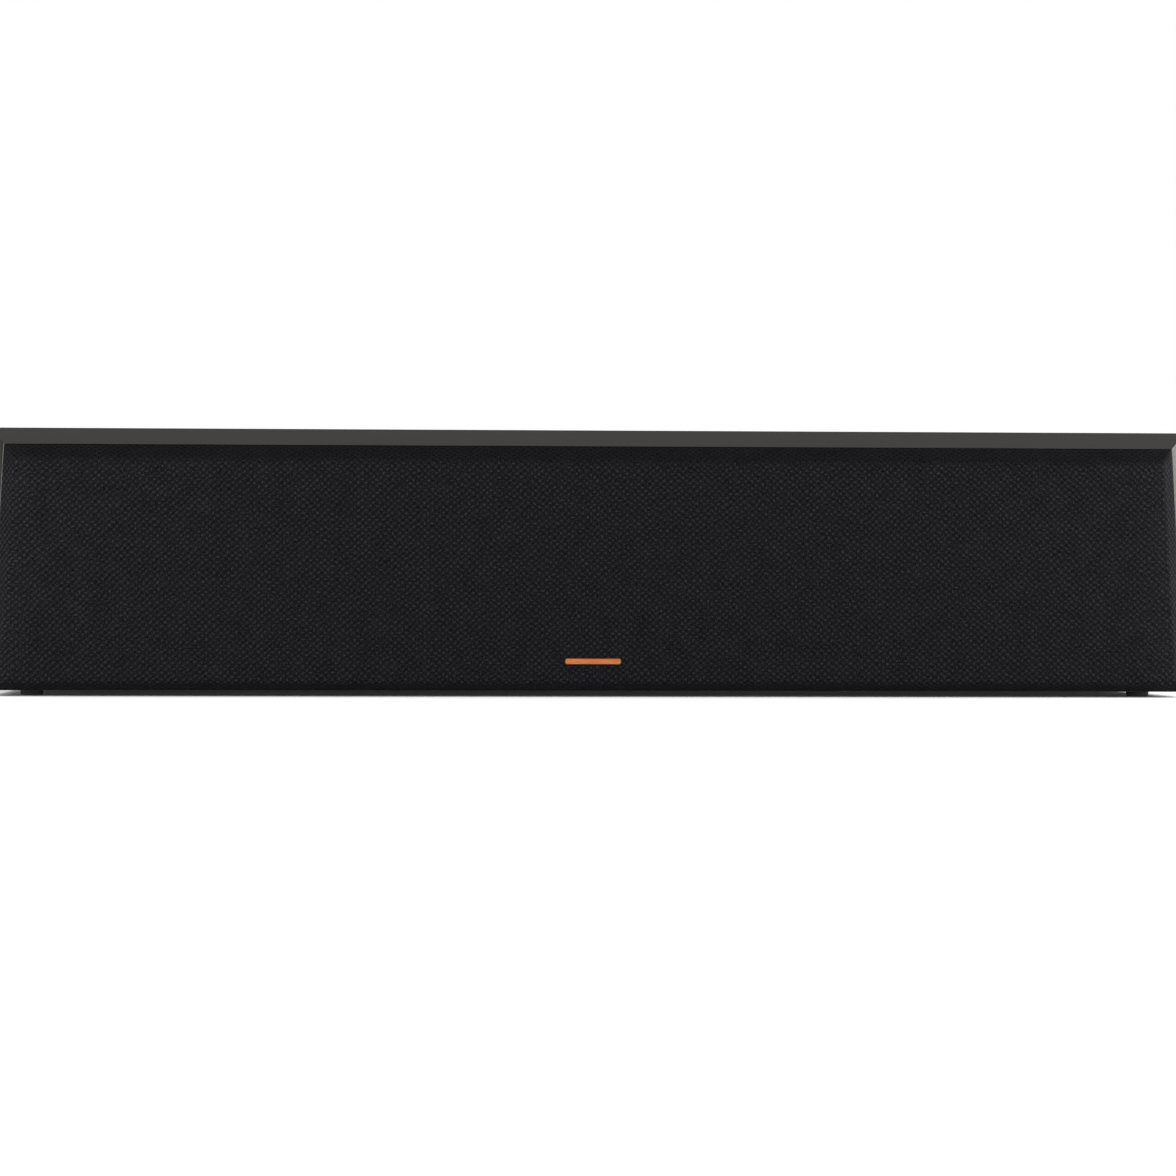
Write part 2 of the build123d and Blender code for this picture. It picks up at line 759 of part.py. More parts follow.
with BuildPart() as woofer_yokes:
    with BuildSketch(rear_facing(0, flange_y + yoke_front, driver_z)):
        with Locations(*[(x, 0) for x in woofer_places]):
            Circle(motor_neck_radius)
    extrude(amount=yoke_thickness)
    with BuildSketch(rear_facing(0, flange_y + basket_depth, driver_z)):
        with Locations(*[(x, 0) for x in woofer_places]):
            Circle(pole_radius)
    extrude(amount=yoke_front - basket_depth)
    with BuildSketch(rear_facing(0, flange_y + basket_depth, driver_z)):
        with Locations(*[(x, 0) for x in woofer_places]):
            Circle(pole_vent_radius)
    extrude(amount=woofer_depth - basket_depth, mode=Mode.SUBTRACT)
woofer_yokes.part.label = "woofer_yokes"
export_step(woofer_yokes.part, "parts/woofer_yokes.step")

# Trim rings: moulded rings that snap over the flanges and hide the screws.
with BuildPart() as woofer_trim_rings:
    for x in woofer_places:
        with BuildSketch(section_plane(x, flange_y, driver_z)):
            Polygon(*trim_profile, align=None)
        revolve(axis=depth_axis(x, flange_y, driver_z))
woofer_trim_rings.part.label = "woofer_trim_rings"
export_step(woofer_trim_rings.part, "parts/woofer_trim_rings.step")

# Horn: square face that flows into a round throat, with a collar for the tweeter motor.
throat_depth, throat_size, throat_corner = horn_sections[-1]
throat_radius = throat_size / 2
collar_radius = tweeter_body_radius - horn_collar_inset
dome_depth = throat_depth + horn_collar_length

with BuildPart() as tweeter_horn:
    for depth, size, radius in horn_sections:
        with BuildSketch(front_plane(baffle_y + depth)):
            with Locations((0, driver_z)):
                RectangleRounded(size + 2 * horn_wall, size + 2 * horn_wall, radius + horn_wall)
    loft()
    with BuildSketch(front_plane(baffle_y)):
        with Locations((0, driver_z)):
            RectangleRounded(horn_face, horn_face, horn_face_radius)
    extrude(amount=-horn_face_thickness)
    with BuildSketch(front_plane(baffle_y + throat_depth)):
        with Locations((0, driver_z)):
            Circle(collar_radius)
    extrude(amount=-horn_collar_length)
    for depth, size, radius in horn_sections:
        with BuildSketch(front_plane(baffle_y + depth)):
            with Locations((0, driver_z)):
                RectangleRounded(size, size, radius)
    loft(mode=Mode.SUBTRACT)
    with BuildSketch(front_plane(baffle_y + throat_depth)):
        with Locations((0, driver_z)):
            RectangleRounded(throat_size, throat_size, throat_corner)
    extrude(amount=-horn_collar_length, mode=Mode.SUBTRACT)
    with BuildSketch(front_plane(baffle_y)):
        with Locations(*horn_screws):
            Circle(screw_head_radius + clearance)
    extrude(amount=-screw_head_height, mode=Mode.SUBTRACT)
    with BuildSketch(front_plane(baffle_y)):
        with Locations(*horn_screws):
            Circle(screw_radius + clearance)
    extrude(amount=-horn_face_thickness, mode=Mode.SUBTRACT)
tweeter_horn.part.label = "tweeter_horn"
export_step(tweeter_horn.part, "parts/tweeter_horn.step")

# Phase plug: a small bullet on three arms in the throat, before the dome.
with BuildPart() as tweeter_phase_plug:
    with BuildSketch(front_plane(baffle_y + dome_depth)):
        with Locations((0, driver_z)):
            Circle(throat_radius - slip)
            Circle(throat_radius - plug_ring_wall, mode=Mode.SUBTRACT)
    extrude(amount=plug_ring_height)
    with BuildSketch(front_plane(baffle_y + dome_depth)):
        with Locations((0, driver_z)):
            with PolarLocations(throat_radius / 2, plug_arms, start_angle=90):
                Rectangle(throat_radius - plug_ring_wall / 2, plug_arm_width)
    extrude(amount=plug_arm_height)
    with BuildSketch(section_plane(0, baffle_y + dome_depth, driver_z)):
        with BuildLine():
            Polyline(
                (0, -plug_length),
                (0, -plug_foot),
                (plug_radius, -plug_foot),
                (plug_radius, -plug_skirt),
            )
            Spline((plug_radius, -plug_skirt), (0, -plug_length), tangents=((0, -1), (-1, 0)))
        make_face()
    revolve(axis=depth_axis(0, baffle_y + dome_depth, driver_z))
tweeter_phase_plug.part.label = "tweeter_phase_plug"
export_step(tweeter_phase_plug.part, "parts/tweeter_phase_plug.step")

# Tweeter diaphragm: pressed metal dome with its edge ring and coil former.
tweeter_axis = depth_axis(0, baffle_y + dome_depth, driver_z)
tweeter_seat = section_plane(0, baffle_y + dome_depth, driver_z)
edge_front = dome_from_collar + dome_rise
plate_front = edge_front + dome_thickness
edge_outer = collar_radius - dome_edge_inset

with BuildPart() as tweeter_diaphragm:
    with BuildSketch(tweeter_seat):
        with BuildLine():
            Spline(
                (0, dome_from_collar),
                (dome_radius, edge_front),
                tangents=((1, 0), (1, dome_edge_slope)),
            )
            Polyline(
                (dome_radius, edge_front),
                (edge_outer, edge_front),
                (edge_outer, plate_front),
                (dome_radius + former_step, plate_front),
                (dome_radius + former_step, dome_rise + former_end),
                (dome_radius - former_inset, dome_rise + former_end),
                (dome_radius - former_inset, plate_front),
            )
            Spline(
                (dome_radius - former_inset, plate_front),
                (0, dome_from_collar + dome_thickness),
                tangents=((-1, -dome_edge_slope), (-1, 0)),
            )
            Line((0, dome_from_collar + dome_thickness), (0, dome_from_collar))
        make_face()
    revolve(axis=tweeter_axis)
tweeter_diaphragm.part.label = "tweeter_diaphragm"
export_step(tweeter_diaphragm.part, "parts/tweeter_diaphragm.step")

# Tweeter motor: top plate screwed to the horn collar, ring magnet, yoke with a pole.
plate_back = plate_front + tweeter_plate_thickness
tweeter_magnet_back = plate_back + tweeter_magnet_thickness
yoke_back = tweeter_magnet_back + tweeter_plate_thickness
tweeter_slot_radius = dome_radius + tweeter_slot
tweeter_pole_radius = dome_radius - tweeter_pole_gap
tweeter_pole_front = plate_front + tweeter_pole_sink
tweeter_magnet_bore = tweeter_slot_radius + tweeter_magnet_step

with BuildPart() as tweeter_top_plate:
    with BuildSketch(tweeter_seat):
        Polygon(
            (tweeter_slot_radius, plate_front),
            (edge_outer, plate_front),
            (edge_outer, 0),
            (tweeter_body_radius, 0),
            (tweeter_body_radius, plate_back),
            (tweeter_slot_radius, plate_back),
            align=None,
        )
    revolve(axis=tweeter_axis)
tweeter_top_plate.part.label = "tweeter_top_plate"
export_step(tweeter_top_plate.part, "parts/tweeter_top_plate.step")

with BuildPart() as tweeter_magnet:
    with BuildSketch(tweeter_seat):
        Polygon(
            (tweeter_magnet_bore, plate_back),
            (tweeter_body_radius, plate_back),
            (tweeter_body_radius, tweeter_magnet_back),
            (tweeter_magnet_bore, tweeter_magnet_back),
            align=None,
        )
    revolve(axis=tweeter_axis)
tweeter_magnet.part.label = "tweeter_magnet"
export_step(tweeter_magnet.part, "parts/tweeter_magnet.step")

with BuildPart() as tweeter_yoke:
    with BuildSketch(tweeter_seat):
        Polygon(
            (pole_vent_radius, tweeter_pole_front),
            (tweeter_pole_radius, tweeter_pole_front),
            (tweeter_pole_radius, tweeter_magnet_back),
            (tweeter_body_radius, tweeter_magnet_back),
            (tweeter_body_radius, yoke_back),
            (pole_vent_radius, yoke_back),
            align=None,
        )
    revolve(axis=tweeter_axis)
tweeter_yoke.part.label = "tweeter_yoke"
export_step(tweeter_yoke.part, "parts/tweeter_yoke.step")

chamber_radius = tweeter_body_radius - rear_chamber_inset
chamber_bore = chamber_radius - rear_chamber_wall
chamber_end = yoke_back + rear_chamber_length

with BuildPart() as tweeter_rear_chamber:
    with BuildSketch(tweeter_seat):
        Polygon(
            (chamber_bore, yoke_back),
            (chamber_radius, yoke_back),
            (chamber_radius - rear_chamber_draft, chamber_end),
            (0, chamber_end),
            (0, chamber_end - rear_chamber_end),
            (chamber_bore, chamber_end - rear_chamber_end),
            align=None,
        )
    revolve(axis=tweeter_axis)
tweeter_rear_chamber.part.label = "tweeter_rear_chamber"
export_step(tweeter_rear_chamber.part, "parts/tweeter_rear_chamber.step")

# Terminal cup: drafted tray in the rear panel with a rim on its outside.
cup_floor_y = rear_y - cup_depth + cup_wall
post_places = [
    (sx * post_spacing_x / 2, driver_z + sz * post_spacing_z / 2) for sz in (1, -1) for sx in (-1, 1)
]

with BuildPart() as terminal_cup:
    with BuildSketch(front_plane(rear_y)):
        with Locations((0, driver_z)):
            RectangleRounded(cup_width, cup_height, cup_corner)
    extrude(amount=cup_depth, taper=cup_draft)
    with BuildSketch(front_plane(rear_y)):
        with Locations((0, driver_z)):
            RectangleRounded(cup_width + 2 * cup_rim, cup_height + 2 * cup_rim, cup_rim_corner)
    extrude(amount=-rear_flange)
    fillet(terminal_cup.faces().sort_by(Axis.Y)[-1].edges(), cup_rim_edge)
    with BuildSketch(front_plane(rear_y + rear_flange)):
        with Locations((0, driver_z)):
            RectangleRounded(cup_width - 2 * cup_wall, cup_height - 2 * cup_wall, cup_inner_corner)
    extrude(amount=cup_depth + rear_flange - cup_wall, taper=cup_draft, mode=Mode.SUBTRACT)
    with BuildSketch(front_plane(rear_y)):
        with Locations(*post_places):
            Circle(post_radius + slip)
    extrude(amount=cup_depth, mode=Mode.SUBTRACT)
    with BuildSketch(front_plane(rear_y)):
        with Locations(*cup_screws):
            Circle(screw_radius + clearance)
    extrude(amount=-rear_flange, mode=Mode.SUBTRACT)
    with BuildSketch(front_plane(rear_y + rear_flange)):
        with Locations(*cup_screws):
            Circle(screw_head_radius + clearance)
    extrude(amount=screw_head_height, mode=Mode.SUBTRACT)
terminal_cup.part.label = "terminal_cup"
export_step(terminal_cup.part, "parts/terminal_cup.step")

# Binding posts: plated studs through the cup floor, bored for a 4 mm plug.
strap_y = cup_floor_y + post_base_height
cap_y = strap_y + strap_thickness + post_cap_gap
post_end_y = cap_y + post_cap_length

with BuildPart() as binding_posts:
    with BuildSketch(front_plane(cup_floor_y)):
        with Locations(*post_places):
            Circle(post_base_radius)
    extrude(amount=-post_base_height)
    with BuildSketch(front_plane(post_end_y)):
        with Locations(*post_places):
            Circle(post_radius)
    extrude(amount=post_end_y - cup_floor_y + cup_wall + post_tail)
    with BuildSketch(front_plane(post_end_y)):
        with Locations(*post_places):
            Circle(plug_bore_radius)
    extrude(amount=plug_bore_length, mode=Mode.SUBTRACT)
binding_posts.part.label = "binding_posts"
export_step(binding_posts.part, "parts/binding_posts.step")

# Post caps: knurled moulded nuts that clamp the wire, one for each post.
cap_labels = ("cap_upper_black", "cap_upper_red", "cap_lower_black", "cap_lower_red")
for label, (x, z) in zip(cap_labels, post_places):
    with BuildPart() as post_cap:
        with BuildSketch(rear_facing(x, cap_y, z)):
            Circle(post_cap_radius)
            with PolarLocations(post_cap_radius + flute_offset, flute_count):
                Circle(flute_radius, mode=Mode.SUBTRACT)
        extrude(amount=post_cap_length)
        with BuildSketch(rear_facing(x, cap_y, z)):
            Circle(post_cap_radius)
        extrude(amount=post_cap_collar)
        with BuildSketch(rear_facing(x, cap_y, z)):
            Circle(post_radius + slip)
        extrude(amount=post_cap_length, mode=Mode.SUBTRACT)
    post_cap.part.label = label
    export_step(post_cap.part, f"parts/{label}.step")

# Jumper straps: plated bars that join the two posts of one colour.
with BuildPart() as jumper_straps:
    with BuildSketch(rear_facing(0, strap_y, driver_z)):
        with GridLocations(post_spacing_x, 1, 2, 1):
            SlotCenterToCenter(post_spacing_z, strap_width, rotation=90)
        with GridLocations(post_spacing_x, post_spacing_z, 2, 2):
            Circle(post_radius + slip, mode=Mode.SUBTRACT)
    extrude(amount=strap_thickness)
jumper_straps.part.label = "jumper_straps"
export_step(jumper_straps.part, "parts/jumper_straps.step")

# Port tubes: moulded tubes, flared at the rear mouth and at the inner end.
for x, label in zip(port_places, ("left_port_tube", "right_port_tube")):
    with BuildPart() as port_tube:
        with BuildSketch(section_plane(x, rear_y, driver_z)):
            with BuildLine():
                inner_end = -port_length
                inner_flare = port_radius + port_end_flare
                bend = -port_flare
                end_bend = inner_end + port_flare * port_end_share
                mouth_across, mouth_along = port_mouth_run
                end_across, end_along = port_end_run
                Spline(
                    (port_mouth_radius, rear_flange),
                    (port_radius, bend),
                    tangents=((-mouth_across, -mouth_along), (0, -1)),
                )
                Line((port_radius, bend), (port_radius, end_bend))
                Spline(
                    (port_radius, end_bend),
                    (inner_flare, inner_end),
                    tangents=((0, -1), (end_across, -end_along)),
                )
                Line((inner_flare, inner_end), (inner_flare + port_wall, inner_end))
                Spline(
                    (inner_flare + port_wall, inner_end),
                    (port_radius + port_wall, end_bend),
                    tangents=((-end_across, end_along), (0, 1)),
                )
                Line((port_radius + port_wall, end_bend), (port_radius + port_wall, bend))
                Spline(
                    (port_radius + port_wall, bend),
                    (port_mouth_radius + port_wall, 0),
                    tangents=((0, 1), (mouth_across, mouth_along)),
                )
                Polyline(
                    (port_mouth_radius + port_wall, 0),
                    (port_mouth_radius + port_rim, 0),
                    (port_mouth_radius + port_rim, rear_flange - port_rim_bevel),
                    (port_mouth_radius + port_rim - port_rim_bevel, rear_flange),
                    (port_mouth_radius, rear_flange),
                )
            make_face()
        revolve(axis=depth_axis(x, rear_y, driver_z))
    port_tube.part.label = label
    export_step(port_tube.part, f"parts/{label}.step")

# Crossover: a board glued to the bottom panel, with coils, capacitors and resistors on it.
board_top_z = floor_z + board_thickness

with BuildPart() as crossover_board:
    with BuildSketch(Plane.XY.offset(floor_z)):
        RectangleRounded(board_width, board_depth, board_corner)
    extrude(amount=board_thickness)
crossover_board.part.label = "crossover_board"
export_step(crossover_board.part, "parts/crossover_board.step")

inductor_row_y = -board_depth / 2 + board_margin + inductor_radius
part_row_y = inductor_row_y + inductor_radius + board_margin

with BuildPart() as crossover_inductors:
    with BuildSketch(Plane.XY.offset(board_top_z)):
        with Locations((0, inductor_row_y)):
            with GridLocations(2 * inductor_radius + board_margin, 1, inductors, 1):
                Circle(inductor_radius)
                Circle(inductor_bore, mode=Mode.SUBTRACT)
    extrude(amount=inductor_height)
crossover_inductors.part.label = "crossover_inductors"
export_step(crossover_inductors.part, "parts/crossover_inductors.step")

capacitor_x = -board_width / 2 + board_margin + capacitor_radius
capacitor_pitch = 2 * capacitor_radius + board_margin
capacitor_z = board_top_z + capacitor_radius
capacitor_places = [(capacitor_x + n * capacitor_pitch, capacitor_z) for n in range(capacitors)]

with BuildPart() as crossover_capacitors:
    with BuildSketch(front_plane(part_row_y)):
        with Locations(*capacitor_places):
            Circle(capacitor_radius)
    extrude(amount=-capacitor_length)
crossover_capacitors.part.label = "crossover_capacitors"
export_step(crossover_capacitors.part, "parts/crossover_capacitors.step")

resistor_x = capacitor_places[-1][0] + capacitor_radius + board_margin + resistor_width / 2
resistor_y = part_row_y + resistor_length / 2
resistor_pitch = resistor_width + board_margin
resistor_places = [(resistor_x + n * resistor_pitch, resistor_y) for n in range(resistors)]

with BuildPart() as crossover_resistors:
    with BuildSketch(Plane.XY.offset(board_top_z)):
        with Locations(*resistor_places):
            Rectangle(resistor_width, resistor_length)
    extrude(amount=resistor_width)
crossover_resistors.part.label = "crossover_resistors"
export_step(crossover_resistors.part, "parts/crossover_resistors.step")

# Wiring: twin leads from the board to each driver and from the posts to the board.
run_z = floor_z + wire_radius + clearance
tag_z = driver_z - motor_neck_radius - tag_size[2] + tag_sink
board_front_y = -board_depth / 2
board_rear_y = board_depth / 2
wire_paths = []
for side in (-1, 1):
    for row, x in enumerate(right_woofers):
        lane_y = tag_y + wire_lane * (0.5 - row)
        entry_x = side * (board_width / 2 - board_margin - 2 * wire_lane * row)
        wire_paths.append(
            [
                (side * x, lane_y, tag_z),
                (side * x, lane_y, run_z),
                (entry_x, lane_y, run_z),
                (entry_x, board_front_y, run_z),
            ]
        )
chamber_end_y = baffle_y + dome_depth + chamber_end
tweeter_wire_x = inductor_radius + board_margin / 2
wire_paths.append(
    [
        (tweeter_wire_x, chamber_end_y, driver_z),
        (tweeter_wire_x, chamber_end_y + wire_drop, driver_z),
        (tweeter_wire_x, chamber_end_y + wire_drop, board_top_z),
    ]
)
post_tail_y = cup_floor_y - cup_wall - post_tail
for x, z in post_places[2:]:
    wire_paths.append(
        [
            (x, post_tail_y, z),
            (x, post_tail_y - wire_drop, z),
            (x, post_tail_y - wire_drop, run_z),
            (x, board_rear_y, run_z),
        ]
    )

with BuildPart() as internal_wiring:
    for path in wire_paths:
        with BuildLine():
            lead = FilletPolyline(*path, radius=wire_bend)
        with BuildSketch(Plane(origin=lead @ 0, z_dir=lead % 0)):
            Circle(wire_radius)
        sweep(path=lead)
internal_wiring.part.label = "internal_wiring"
export_step(internal_wiring.part, "parts/internal_wiring.step")

# Screws: pan heads that hold the woofers, the horn and the terminal cup.
screw_groups = (
    (woofer_screws, flange_y, 1),
    (horn_screws, baffle_y + screw_head_height, 1),
    (cup_screws, rear_y + rear_flange - screw_head_height, -1),
)
with BuildPart() as mounting_screws:
    for places, under_head_y, inward in screw_groups:
        with BuildSketch(front_plane(under_head_y)):
            with Locations(*places):
                Circle(screw_head_radius)
        extrude(amount=inward * screw_head_height)
        with BuildSketch(front_plane(under_head_y)):
            with Locations(*places):
                Circle(screw_radius)
        extrude(amount=-inward * screw_length)
mounting_screws.part.label = "mounting_screws"
export_step(mounting_screws.part, "parts/mounting_screws.step")
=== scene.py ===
from math import acos, atan2, cos, pi, radians, sin, sqrt, tan

import bmesh
import bpy
from mathutils import Matrix, Vector, noise


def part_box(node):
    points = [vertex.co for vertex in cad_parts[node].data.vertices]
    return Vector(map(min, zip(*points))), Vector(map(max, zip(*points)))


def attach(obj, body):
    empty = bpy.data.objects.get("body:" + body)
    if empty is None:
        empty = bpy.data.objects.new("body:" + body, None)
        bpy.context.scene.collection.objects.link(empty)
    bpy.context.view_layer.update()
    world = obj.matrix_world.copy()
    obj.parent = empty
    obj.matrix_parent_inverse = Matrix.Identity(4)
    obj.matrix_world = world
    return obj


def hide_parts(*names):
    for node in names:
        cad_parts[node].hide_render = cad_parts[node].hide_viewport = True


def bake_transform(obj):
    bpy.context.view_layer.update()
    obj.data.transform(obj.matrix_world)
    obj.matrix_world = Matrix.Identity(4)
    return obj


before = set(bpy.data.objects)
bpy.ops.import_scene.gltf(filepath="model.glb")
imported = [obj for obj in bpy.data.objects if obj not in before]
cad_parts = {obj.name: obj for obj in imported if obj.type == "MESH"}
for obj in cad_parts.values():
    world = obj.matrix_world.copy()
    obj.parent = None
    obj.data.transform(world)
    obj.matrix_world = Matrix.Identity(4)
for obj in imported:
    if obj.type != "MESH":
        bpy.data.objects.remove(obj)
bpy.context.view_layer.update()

# Cabinet boards: 18 mm fibreboard in a black wood-grain vinyl, grooved at the corners and folded
# up round the glued-in rear board, so the grain runs along the top and on down the ends.
MM = 0.001
# Blender's noise seldom leaves this band.
NOISE_LOW, NOISE_HIGH = 0.3, 0.7


def linear(hex_code):
    """An sRGB hex colour as linear red, green, blue and alpha."""
    parts = [int(hex_code[i:i + 2], 16) / 255 for i in (1, 3, 5)]
    return [c / 12.92 if c <= 0.04045 else ((c + 0.055) / 1.055) ** 2.4 for c in parts] + [1.0]


def add(tree, kind, inputs=(), **settings):
    """Adds a node. Its inputs, by name or identifier, take a value or another node's output."""
    node = tree.nodes.new(kind)
    for key, value in settings.items():
        setattr(node, key, value)
    for key, value in dict(inputs).items():
        socket = next(s for s in node.inputs if key in (s.identifier, s.name))
        if isinstance(value, bpy.types.NodeSocket):
            tree.links.new(value, socket)
        else:
            socket.default_value = value
    return node


def start_material(name, hex_code, roughness, sockets=()):
    """A material with one shader, its plain sockets set; returns it with its tree and shader."""
    material = bpy.data.materials.new(name)
    material.use_nodes = True
    tree = material.node_tree
    tree.nodes.clear()
    plain = {"Base Color": linear(hex_code), "Roughness": roughness}
    shader = add(tree, "ShaderNodeBsdfPrincipled", {**plain, **dict(sockets)})
    add(tree, "ShaderNodeOutputMaterial", {"Surface": shader.outputs["BSDF"]})
    return material, tree, shader


def grain(tree, shader, size, tones, bump=0.0, roughness=None, stretch=(1, 1, 1), detail=3.0):
    """Noise with grains of one size in mm: two tones, a spread of roughness, a relief in mm."""
    place = add(tree, "ShaderNodeTexCoord").outputs["Object"]
    drawn = add(tree, "ShaderNodeMapping", {"Vector": place, "Scale": stretch})
    pattern = add(
        tree,
        "ShaderNodeTexNoise",
        {"Vector": drawn.outputs["Vector"], "Scale": 1 / (size * MM), "Detail": detail},
    ).outputs[0]
    spread = add(
        tree,
        "ShaderNodeMapRange",
        {"Value": pattern, "From Min": NOISE_LOW, "From Max": NOISE_HIGH},
    ).outputs[0]
    colour = add(
        tree,
        "ShaderNodeMix",
        {"Factor_Float": spread, "A_Color": linear(tones[0]), "B_Color": linear(tones[1])},
        data_type="RGBA",
    )
    tree.links.new(colour.outputs[2], shader.inputs["Base Color"])
    if roughness:
        gloss = add(
            tree,
            "ShaderNodeMapRange",
            {"Value": spread, "To Min": roughness[0], "To Max": roughness[1]},
        )
        tree.links.new(gloss.outputs[0], shader.inputs["Roughness"])
    if bump:
        relief = add(tree, "ShaderNodeBump", {"Height": spread, "Distance": bump * MM})
        tree.links.new(relief.outputs["Normal"], shader.inputs["Normal"])


def paint(material, *names):
    """Gives CAD nodes their finish."""
    for name in names:
        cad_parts[name].material_slots[0].material = material


# Printed and embossed vinyl: a dark satin ground with long, slightly paler pores along the grain.
PORE_WIDTH, PORE_STRETCH = 1.7, 0.022
for name, along, boards in (
    ("black_grain_vinyl_lengthwise", (PORE_STRETCH, 1, 1), ("top_panel", "bottom_panel", "rear_panel")),
    ("black_grain_vinyl_upright", (1, 1, PORE_STRETCH), ("left_panel", "right_panel")),
):
    vinyl, tree, shader = start_material(name, "#161515", 0.55, {"Specular IOR Level": 0.3})
    grain(tree, shader, PORE_WIDTH, ("#0e0e0e", "#1f1e1d"), 0.05, (0.46, 0.64), along)
    paint(vinyl, *boards)

# Front baffle: a 25 mm board with a bevel along its top and down its ends, sanded and sprayed in
# satin black, glued to the front of the wrap.
# Satin lacquer: warm black, rubbed down along the board, which leaves faint long streaks.
lacquer, tree, shader = start_material(
    "satin_black_lacquer",
    "#141413",
    0.4,
    {"Specular IOR Level": 0.46, "Specular Tint": linear("#fffbf2")},
)
grain(tree, shader, 2.0, ("#11100f", "#1a1917"), 0.004, (0.34, 0.47), (0.03, 1, 1))
paint(lacquer, "front_baffle")

# Braces: two bare fibreboard frames, sawn out and glued between top, bottom, baffle and rear,
# one on each side of the horn.
# Raw fibreboard: pale brown, matt, with short pressed fibres.
fibreboard, tree, shader = start_material("raw_fibreboard", "#a9845a", 0.85)
grain(tree, shader, 1.2, ("#8f6c46", "#b99567"), 0.06, (0.8, 0.95), detail=6.0)
paint(fibreboard, "cabinet_braces")

# Damping pads: polyester wadding glued under the top board at both ends, flat where it is glued
# and swelling below, thinner along its cut edges.
PAD_COLUMNS, PAD_ROWS, PAD_TUFT, PAD_TUFT_SIZE = 46, 30, 1.6, 14.0
PAD_SQUARENESS, PAD_CROWN = 8, 0.4
wadding, tree, shader = start_material(
    "polyester_wadding", "#cfcfca", 0.95, {"Sheen Weight": 0.3, "Sheen Roughness": 0.6}
)
grain(tree, shader, 5.0, ("#bdbdb7", "#d9d9d5"), 0.5, detail=6.0)
pad_low, pad_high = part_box("damping_pads")
pad_inner = min(v.co.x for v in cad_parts["damping_pads"].data.vertices if v.co.x > 0)


def settle(name, built):
    """Makes a finished bmesh an object of the scene."""
    mesh = bpy.data.meshes.new(name)
    built.to_mesh(mesh)
    built.free()
    piece = bpy.data.objects.new(name, mesh)
    bpy.context.scene.collection.objects.link(piece)
    return piece


for side, name in ((-1, "left_wadding"), (1, "right_wadding")):
    built = bmesh.new()
    rows = []
    for j in range(PAD_ROWS + 1):
        rows.append([])
        for i in range(PAD_COLUMNS + 1):
            s, t = 2 * i / PAD_COLUMNS - 1, 2 * j / PAD_ROWS - 1
            swell = max(0.0, (1 - s ** PAD_SQUARENESS) * (1 - t ** PAD_SQUARENESS)) ** PAD_CROWN
            x = side * (pad_inner + (pad_high.x - pad_inner) * (s + 1) / 2)
            y = pad_low.y + (pad_high.y - pad_low.y) * (t + 1) / 2
            clump = noise.noise((x / PAD_TUFT_SIZE / MM, y / PAD_TUFT_SIZE / MM, 0))
            tuft = PAD_TUFT * MM * (clump - 1)
            drop = (pad_high.z - pad_low.z + tuft) * swell
            rows[-1].append(built.verts.new((x, y, pad_high.z - drop)))
    for low_row, high_row in zip(rows, rows[1:]):
        for i in range(PAD_COLUMNS):
            built.faces.new((low_row[i], low_row[i + 1], high_row[i + 1], high_row[i]))
    right_rim, left_rim = [row[-1] for row in rows[1:]], [row[0] for row in rows[-2:0:-1]]
    built.faces.new(rows[0] + right_rim + rows[-1][-2::-1] + left_rim)
    bmesh.ops.recalc_face_normals(built, faces=built.faces)
    for face in built.faces:
        face.smooth = len(face.verts) == 4
    pad = settle(name, built)
    pad.data.materials.append(wadding)
    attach(pad, "cabinet")
    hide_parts("damping_pads")

# Feet: four moulded rubber buttons, rounded at their lower edge and stuck in shallow recesses
# under the bottom board.
# Grey rubber: matt and a little cloudy, with a bloom of fine dust.
foot_rubber, tree, shader = start_material("grey_foot_rubber", "#3b3b3b", 0.7)
grain(tree, shader, 0.9, ("#343434", "#434342"), 0.03, (0.6, 0.8))
paint(foot_rubber, "rubber_feet")

# Woofer baskets: cast aluminium frames, powder coated black, let into the baffle and screwed on,
# with a ledge inside that carries the spider.
# Powder coat: black with a fine pebble that breaks up the highlights.
powder_coat, tree, shader = start_material("black_powder_coat", "#191919", 0.5)
grain(tree, shader, 0.8, ("#131313", "#202020"), 0.06, (0.42, 0.6))
WOOFERS = (1, 2, 3, 4)
paint(powder_coat, *(f"woofer_{n}_basket" for n in WOOFERS))

# Woofer motors: turned steel plates and yokes, zinc plated, with a ring of ground ferrite
# glued between them, and a voice coil of enamelled copper wire in the air slot.
# Zinc plating: cool grey metal with faint cloudy spangle.
zinc, tree, shader = start_material("zinc_plated_steel", "#b9bbbd", 0.32, {"Metallic": 1.0})
grain(tree, shader, 3.0, ("#a5a7aa", "#c6c8c9"), 0.004, (0.26, 0.4))
paint(zinc, "woofer_top_plates", "woofer_yokes", "tweeter_top_plate", "tweeter_yoke")

# Ferrite: dark grey ceramic, dull, with a fine ground grain.
ferrite, tree, shader = start_material("ground_ferrite", "#3a3a3d", 0.55)
grain(tree, shader, 0.7, ("#313134", "#424246"), 0.02, (0.48, 0.62))
paint(ferrite, "woofer_magnets", "tweeter_magnet")

# Enamelled copper wire: reddish metal under clear lacquer, its turns drawn at 1 mm so they show.
enamel_wire, tree, shader = start_material(
    "enamelled_copper_wire", "#a8562f", 0.3, {"Metallic": 1.0, "Coat Weight": 0.5}
)
grain(tree, shader, 1.0, ("#8e4423", "#b9663a"), 0.05, stretch=(0.1, 1, 0.1))
paint(enamel_wire, *(f"woofer_{n}_voice_coil" for n in WOOFERS))

